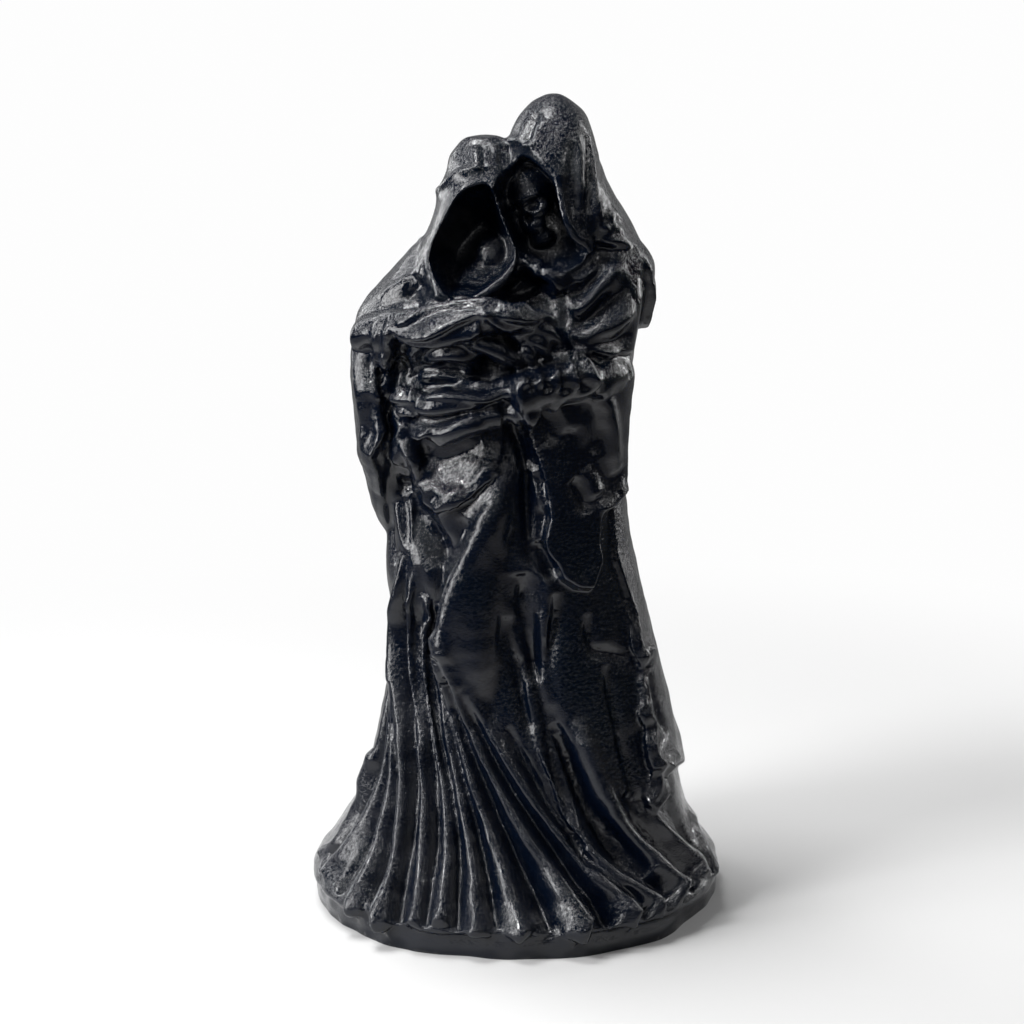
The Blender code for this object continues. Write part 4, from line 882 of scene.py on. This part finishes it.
        ("edge", 3.4, 1.8, ((24.8, 74.1), (26.7, 67.4), (28.8, 60), (29.4, 53.7), (29.5, 49.6),
            (30.7, 45.3), (31.8, 41.5), (32.4, 37.4), (33.2, 33.5), (32.4, 30.5), (31.6, 25.4))),
        ("crest", 1.4, 1.4, ((33.5, 34.3), (36.5, 33.3), (41.7, 29))),
        ("groove", 1.5, 1.6, ((34.9, 32.1), (39.1, 29.1), (41.2, 29.8))),
        ("groove", 1.7, 1.5, ((32.1, 61.1), (32.7, 55.8), (33.5, 51.4), (35, 45.3), (37.3, 38.6))),
        ("ridge", 1.8, 1.3, ((29.8, 59.2), (32.9, 60.6), (34.7, 58.8))),
    ),
}
# Layers of cloth: those in front by x and z, those round the sides and the back by degrees from +X and z
frontLayers = (
    {
        "height": 3.4,
        "edge": 0.9,
        "fadeFoot": 128,
        "fadeTop": 135,
        "corners": (
            (-0.6, 131.4), (0.9, 124), (3.2, 115), (5.6, 106), (7.6, 97), (6.4, 92), (6.6, 89),
            (9.4, 85), (11.0, 82), (14, 79.6), (17.6, 78.8), (18.6, 82), (19.6, 85), (19.0, 91),
            (19.6, 97.4), (22.2, 97.0), (25, 99.6), (25.6, 104.6), (29, 108), (34, 120), (34, 134),
            (14, 134),
        ),
    },
    {
        "height": 1.0,
        "edge": 0.7,
        "fadeFoot": 150,
        "fadeTop": 151,
        "corners": (
            (-29.8, 112), (-27.6, 118.4), (-18, 119.2), (-10, 122.4), (-3, 124.4), (-2.6, 118),
            (-3.4, 112), (-8.5, 106), (-13, 101.4), (-18, 98.8), (-22, 100.6), (-25.6, 106),
        ),
    },
    {
        "height": 1.2,
        "edge": 0.8,
        "fadeFoot": 148,
        "fadeTop": 158,
        "corners": (
            (7.4, 154), (16, 156), (27, 162), (40, 160), (40, 135), (28, 134.4), (20, 136), (13.6, 135),
            (12.4, 139), (13, 147), (11.6, 151),
        ),
    },
)
aroundLayers = (
    {
        "height": 2.6,
        "edge": 0.9,
        "fadeFoot": 70,
        "fadeTop": 112,
        "corners": (
            (-29, 106), (-31, 98), (-33, 92), (-34, 84), (-30, 76), (-28, 70), (-30, 64), (-28.5, 59),
            (-25.5, 57), (-29, 54), (-30, 49), (-33, 46), (-30, 43), (-33, 38), (-31, 33), (-33, 28),
            (-39, 25), (-35, 22.5), (-27, 25), (-22, 31), (-17, 33), (-8, 28.5), (0, 27), (5, 33),
            (14, 36), (22, 32), (30, 38), (40, 40), (48, 34), (57, 39), (66, 44), (75, 38), (84, 42),
            (92, 37), (101, 42), (110, 46), (118, 40), (127, 46), (136, 52), (144, 48), (152, 58),
            (158, 70), (162, 90), (160, 112), (150, 130), (30, 135), (-10, 125),
        ),
    },
    {
        "height": 2.8,
        "edge": 0.8,
        "fadeFoot": 146,
        "fadeTop": 160,
        "corners": (
            (-14, 156), (-8, 148), (-2, 139.5), (6, 137.6), (15, 141), (24, 137), (35, 133), (46, 136),
            (57, 130), (68, 132), (80, 127), (92, 131), (104, 127), (115, 132), (125, 140), (130, 152),
            (120, 163), (20, 166),
        ),
    },
)


unevenness = {"seed": 4, "directions": 5, "waves": ((16, 0.09), (8, 0.04), (4.5, 0.02))}


def sculpted():
    figure = fused("figurine", forms(), sizes["grain"])
    print("forms fused", len(figure.data.vertices))
    lay(figure, aroundLayers, True)
    lay(figure, frontLayers, False)
    print("layers laid")
    carve(figure, pleats(skirtRidges), startTaper=0.2, endTaper=0.02)
    carve(figure, pleats(backRidges), (0, 1, 0), startTaper=0.3, endTaper=0.02)
    for strokes in frontStrokes.values():
        carve(figure, strokes)
    uneven(figure, unevenness)
    print("folds carved")
    return fused("figurine", [figure], sizes["grain"], 1)


def dropCrumbs(bm):
    # only the largest connected skin stays
    seen = set()
    shells = []
    for first in bm.verts:
        if first in seen:
            continue
        seen.add(first)
        shell = [first]
        for vert in shell:
            for edge in vert.link_edges:
                other = edge.other_vert(vert)
                if other not in seen:
                    seen.add(other)
                    shell.append(other)
        shells.append(shell)
    largest = max(shells, key=len)
    crumbs = [vert for shell in shells if shell is not largest for vert in shell]
    bmesh.ops.delete(bm, geom=crumbs, context="VERTS")


def trimmed(figure):
    # fewer triangles, and a flat underside
    fewer = figure.modifiers.new("fewer", "DECIMATE")
    fewer.ratio = min(1.0, sizes["triangles"] / (2 * len(figure.data.polygons)))
    bpy.context.view_layer.update()
    made = evaluatedCopy(figure, "figurine")
    removeObjects(figure)
    bm = bmesh.new()
    bm.from_mesh(made.data)
    dropCrumbs(bm)
    foot = Vector((0, 0, -sizes["baseHeight"]))
    whole = bm.verts[:] + bm.edges[:] + bm.faces[:]
    cutLine = bmesh.ops.bisect_plane(bm, geom=whole, plane_co=foot, plane_no=(0, 0, 1), clear_inner=True)
    rim = [e for e in cutLine["geom_cut"] if isinstance(e, bmesh.types.BMEdge)]
    bmesh.ops.holes_fill(bm, edges=rim)
    bmesh.ops.translate(bm, vec=-foot, verts=bm.verts)
    bmesh.ops.triangulate(bm, faces=[f for f in bm.faces if len(f.verts) > 4])  # the filled underside
    bm.to_mesh(made.data)
    bm.free()
    made.data.shade_smooth()
    return made


figurine = trimmed(sculpted())
print("figurine made", len(figurine.data.polygons))


# Looks
resinLook = {
    "colour": (0.0009, 0.0024, 0.0068, 1),
    "gloss": 0.055,  # roughness where the coat is smooth
    "dull": 0.11,
    "shine": 0.5,
    "bending": 1.5,  # index of refraction
    "wrinkleSize": 1150,  # per metre
    "wrinkleDepth": 0.000046,
    "wrinkleAside": 0.24,  # share of it left where the skin doesn't face up
    "grainSize": 4200,
    "grainDepth": 0.000002,
    "swellSize": 260,
    "swellDepth": 0.0001,
    "twist": 1.4,
    "lineWidth": 0.13,  # of the noise's range either side of its middle
    "patches": (0.38, 0.62),
    "upward": (0.0, 0.5),  # how far up the skin faces, from the least wrinkles to the most
}


def newGroup(name, inputs, outputs):
    group = bpy.data.node_groups.new(name, "ShaderNodeTree")
    for socket, kind, value in inputs:
        made = group.interface.new_socket(socket, in_out="INPUT", socket_type=kind)
        made.default_value = value
    for socket, kind in outputs:
        group.interface.new_socket(socket, in_out="OUTPUT", socket_type=kind)
    return group, group.nodes.new("NodeGroupInput"), group.nodes.new("NodeGroupOutput")


def feed(links, slot, value):
    if isinstance(value, bpy.types.NodeSocket):
        links.new(value, slot)
    else:
        slot.default_value = value


def noise(nodes, links, place, size, detail, distortion=0.0):
    made = nodes.new("ShaderNodeTexNoise")
    made.inputs["Detail"].default_value = detail
    made.inputs["Distortion"].default_value = distortion
    links.new(place, made.inputs["Vector"])
    links.new(size, made.inputs["Scale"])
    return made.outputs["Fac"]


def reckoned(nodes, links, operation, *values):
    made = nodes.new("ShaderNodeMath")
    made.operation = operation
    for slot, value in zip(made.inputs, values):
        feed(links, slot, value)
    return made.outputs[0]


def ranged(nodes, links, value, before, after=(0.0, 1.0), smooth=False):
    made = nodes.new("ShaderNodeMapRange")
    if smooth:
        made.interpolation_type = "SMOOTHSTEP"
    made.inputs["From Min"].default_value, made.inputs["From Max"].default_value = before
    made.inputs["To Min"].default_value, made.inputs["To Max"].default_value = after
    links.new(value, made.inputs["Value"])
    return made.outputs[0]


def wrinkleGroup():
    # worm-like wrinkles: thin lines where a twisted noise crosses its middle value
    sockets = ("Wrinkle Size", "Grain Size", "Swell Size")
    masks = ("Wrinkles", "Grain", "Swells", "Patches")
    group, inlet, outlet = newGroup(
        "wrinkled coat",
        [(name, "NodeSocketFloat", 1000.0) for name in sockets],
        [(name, "NodeSocketFloat") for name in masks],
    )
    nodes, links = group.nodes, group.links
    place = nodes.new("ShaderNodeTexCoord").outputs["Object"]
    worm = noise(nodes, links, place, inlet.outputs["Wrinkle Size"], 2.0, resinLook["twist"])
    swell = noise(nodes, links, place, inlet.outputs["Swell Size"], 2.0)
    folded = reckoned(nodes, links, "ABSOLUTE", reckoned(nodes, links, "SUBTRACT", worm, 0.5))
    made = {
        "Wrinkles": ranged(nodes, links, folded, (0.0, resinLook["lineWidth"]), smooth=True),
        "Grain": noise(nodes, links, place, inlet.outputs["Grain Size"], 2.0),
        "Swells": swell,
        "Patches": ranged(nodes, links, swell, resinLook["patches"]),
    }
    for name in masks:
        links.new(made[name], outlet.inputs[name])
    return group


def resinMaterial():
    material = bpy.data.materials.new("glossy black resin")
    material.use_nodes = True
    nodes, links = material.node_tree.nodes, material.node_tree.links
    surface = nodes["Principled BSDF"]
    coat = nodes.new("ShaderNodeGroup")
    coat.node_tree = wrinkleGroup()
    for socket, key in (("Wrinkle Size", "wrinkleSize"), ("Grain Size", "grainSize"),
        ("Swell Size", "swellSize")): coat.inputs[socket].default_value = resinLook[key]
    surface.inputs["Base Color"].default_value = resinLook["colour"]
    surface.inputs["IOR"].default_value = resinLook["bending"]
    surface.inputs["Specular IOR Level"].default_value = resinLook["shine"]
    rough = ranged(nodes, links, coat.outputs["Patches"], (0.0, 1.0),
    (resinLook["gloss"], resinLook["dull"]))
    links.new(rough, surface.inputs["Roughness"])
    facing = nodes.new("ShaderNodeSeparateXYZ")
    links.new(nodes.new("ShaderNodeNewGeometry").outputs["Normal"], facing.inputs[0])
    most = ranged(nodes, links, facing.outputs["Z"], resinLook["upward"], (resinLook["wrinkleAside"], 1.0))
    normal = None
    for part, depth in (("Swells", "swellDepth"), ("Wrinkles", "wrinkleDepth"), ("Grain", "grainDepth")):
        bump = nodes.new("ShaderNodeBump")
        bump.inputs["Distance"].default_value = resinLook[depth]
        if part == "Wrinkles":
            links.new(most, bump.inputs["Strength"])
        links.new(coat.outputs[part], bump.inputs["Height"])
        if normal:
            links.new(normal, bump.inputs["Normal"])
        normal = bump.outputs["Normal"]
    links.new(normal, surface.inputs["Normal"])
    return material


figurine.data.materials.clear()
figurine.data.materials.append(resinMaterial())
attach(figurine, "root")
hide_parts("grim_reaper_figurine")
print("materials made")

# Floor, light and camera
studio = {
    "floorRadius": 0.34,
    "floorSides": 128,
    "floorRoughness": 0.7,
    "floorColour": (0.5, 0.5, 0.5, 1),
    "backdrop": 0.985,
    "room": 0.035,  # what the figurine mirrors where no lamp is
    "roomBehind": 0.22,
    "behind": (-0.1, 0.8),  # where the room passes from the one to the other, front to back
    "fade": (0.15, 0.33),  # where the floor passes into the backdrop, from its middle
    "mirroredShade": (0.10, 0.19),  # where the floor's colour, as the figurine mirrors it, fades more and more into painted shade
    # share of the floor's colour left far out in that painted shade
    "mirroredShadeLeft": 0.34,
    "lamps": (
        {"name": "top", "at": (-0.20, 0.08, 0.85), "size": (0.44, 0.30), "power": 8.2},
        {"name": "key", "at": (-0.50, -0.34, 0.62), "size": (0.20, 0.20), "power": 4.6},
        {"name": "front", "at": (0.05, -0.75, 0.60), "size": (0.70, 0.46), "power": 0.9},
        {"name": "left strip", "at": (-0.66, -0.30, 0.27), "size": (0.30, 0.52), "power": 5.6},
        {"name": "left rim", "at": (-0.50, 0.55, 0.30), "size": (0.24, 0.50), "power": 2.0},
        {"name": "right rim", "at": (0.60, 0.44, 0.30), "size": (0.16, 0.50), "power": 1.8},
        {"name": "right strip", "at": (0.62, -0.24, 0.60), "size": (0.14, 0.30), "power": 0.7},
    ),
    "target": (-0.00075, 0, 0.0977),
    "cameraDistance": 0.8,
    "cameraElevation": 14,
    "lens": 3250 / 1024 * 36,  # 3250 pixels of a picture 1024 wide, on a sensor 36 mm wide
    "sensor": 36,
}


def paperMaterial():
    # pale paper that passes into the backdrop for the camera, and into the painted shade of a dim room for
    # what mirrors it
    material = bpy.data.materials.new("pale paper")
    material.use_nodes = True
    nodes, links = material.node_tree.nodes, material.node_tree.links
    surface = nodes["Principled BSDF"]
    surface.inputs["Roughness"].default_value = studio["floorRoughness"]
    surface.inputs["Specular IOR Level"].default_value = 0.0
    surface.inputs["Emission Color"].default_value = (1, 1, 1, 1)
    far = nodes.new("ShaderNodeVectorMath")
    far.operation = "LENGTH"
    links.new(nodes.new("ShaderNodeTexCoord").outputs["Object"], far.inputs[0])
    path = nodes.new("ShaderNodeLightPath")
    faded = []
    # painted shade: glossy rays see the floor's colour darkened away from the middle, so the resin mirrors a
    # dim room
    for ray, key, most in (
        ("Is Camera Ray", "fade", 1.0),
        ("Is Glossy Ray", "mirroredShade", 1 - studio["mirroredShadeLeft"]),
    ):
        ramp = ranged(nodes, links, far.outputs["Value"], studio[key], (0.0, most), smooth=True)
        faded.append(reckoned(nodes, links, "MULTIPLY", ramp, path.outputs[ray]))
    colour = nodes.new("ShaderNodeMix")
    colour.data_type = "RGBA"
    colour.inputs["A"].default_value = studio["floorColour"]
    colour.inputs["B"].default_value = (0, 0, 0, 1)
    links.new(reckoned(nodes, links, "MAXIMUM", *faded), colour.inputs["Factor"])
    links.new(colour.outputs["Result"], surface.inputs["Base Color"])
    glow = reckoned(nodes, links, "MULTIPLY", faded[0], studio["backdrop"])
    links.new(glow, surface.inputs["Emission Strength"])
    return material


def makeFloor():
    mesh = bpy.data.meshes.new("floor")
    bm = bmesh.new()
    bmesh.ops.create_circle(bm, cap_ends=True, segments=studio["floorSides"], radius=studio["floorRadius"])
    bm.to_mesh(mesh)
    bm.free()
    floor = linkedObject("floor", mesh)
    floor.data.materials.append(paperMaterial())


def makeRoom():
    # a pale backdrop for the camera, and a dim room with a lighter far side for the resin to mirror
    world = bpy.data.worlds.new("studio")
    world.use_nodes = True
    nodes, links = world.node_tree.nodes, world.node_tree.links
    split = nodes.new("ShaderNodeSeparateXYZ")
    links.new(nodes.new("ShaderNodeTexCoord").outputs["Generated"], split.inputs[0])
    levels = (studio["room"], studio["roomBehind"])
    dim = ranged(nodes, links, split.outputs["Y"], studio["behind"], levels, smooth=True)
    seen = nodes.new("ShaderNodeLightPath")
    either = nodes.new("ShaderNodeMix")
    either.inputs["B"].default_value = studio["backdrop"]
    links.new(seen.outputs["Is Camera Ray"], either.inputs["Factor"])
    links.new(dim, either.inputs["A"])
    links.new(either.outputs["Result"], nodes["Background"].inputs["Strength"])
    nodes["Background"].inputs["Color"].default_value = (1, 1, 1, 1)
    bpy.context.scene.world = world


def makeStudio():
    makeFloor()
    makeRoom()
    scene = bpy.context.scene
    for lamp in studio["lamps"]:
        data = bpy.data.lights.new(lamp["name"], "AREA")
        data.shape = "RECTANGLE"
        data.energy = lamp["power"]
        data.size, data.size_y = lamp["size"]
        made = bpy.data.objects.new(lamp["name"], data)
        made.location = lamp["at"]
        aim = Vector(studio["target"]) - Vector(lamp["at"])
        made.rotation_euler = aim.to_track_quat("-Z", "Y").to_euler()
        made.visible_camera = False
        scene.collection.objects.link(made)
    scene.view_settings.view_transform = "Standard"
    up = math.radians(studio["cameraElevation"])
    back = Vector((0, -math.cos(up), math.sin(up)))
    camera = bpy.data.objects.new("camera", bpy.data.cameras.new("camera"))
    camera.data.sensor_width = studio["sensor"]
    camera.data.lens = studio["lens"]
    camera.location = Vector(studio["target"]) + back * studio["cameraDistance"]
    camera.rotation_euler = (-back).to_track_quat("-Z", "Y").to_euler()
    scene.collection.objects.link(camera)
    scene.camera = camera


makeStudio()
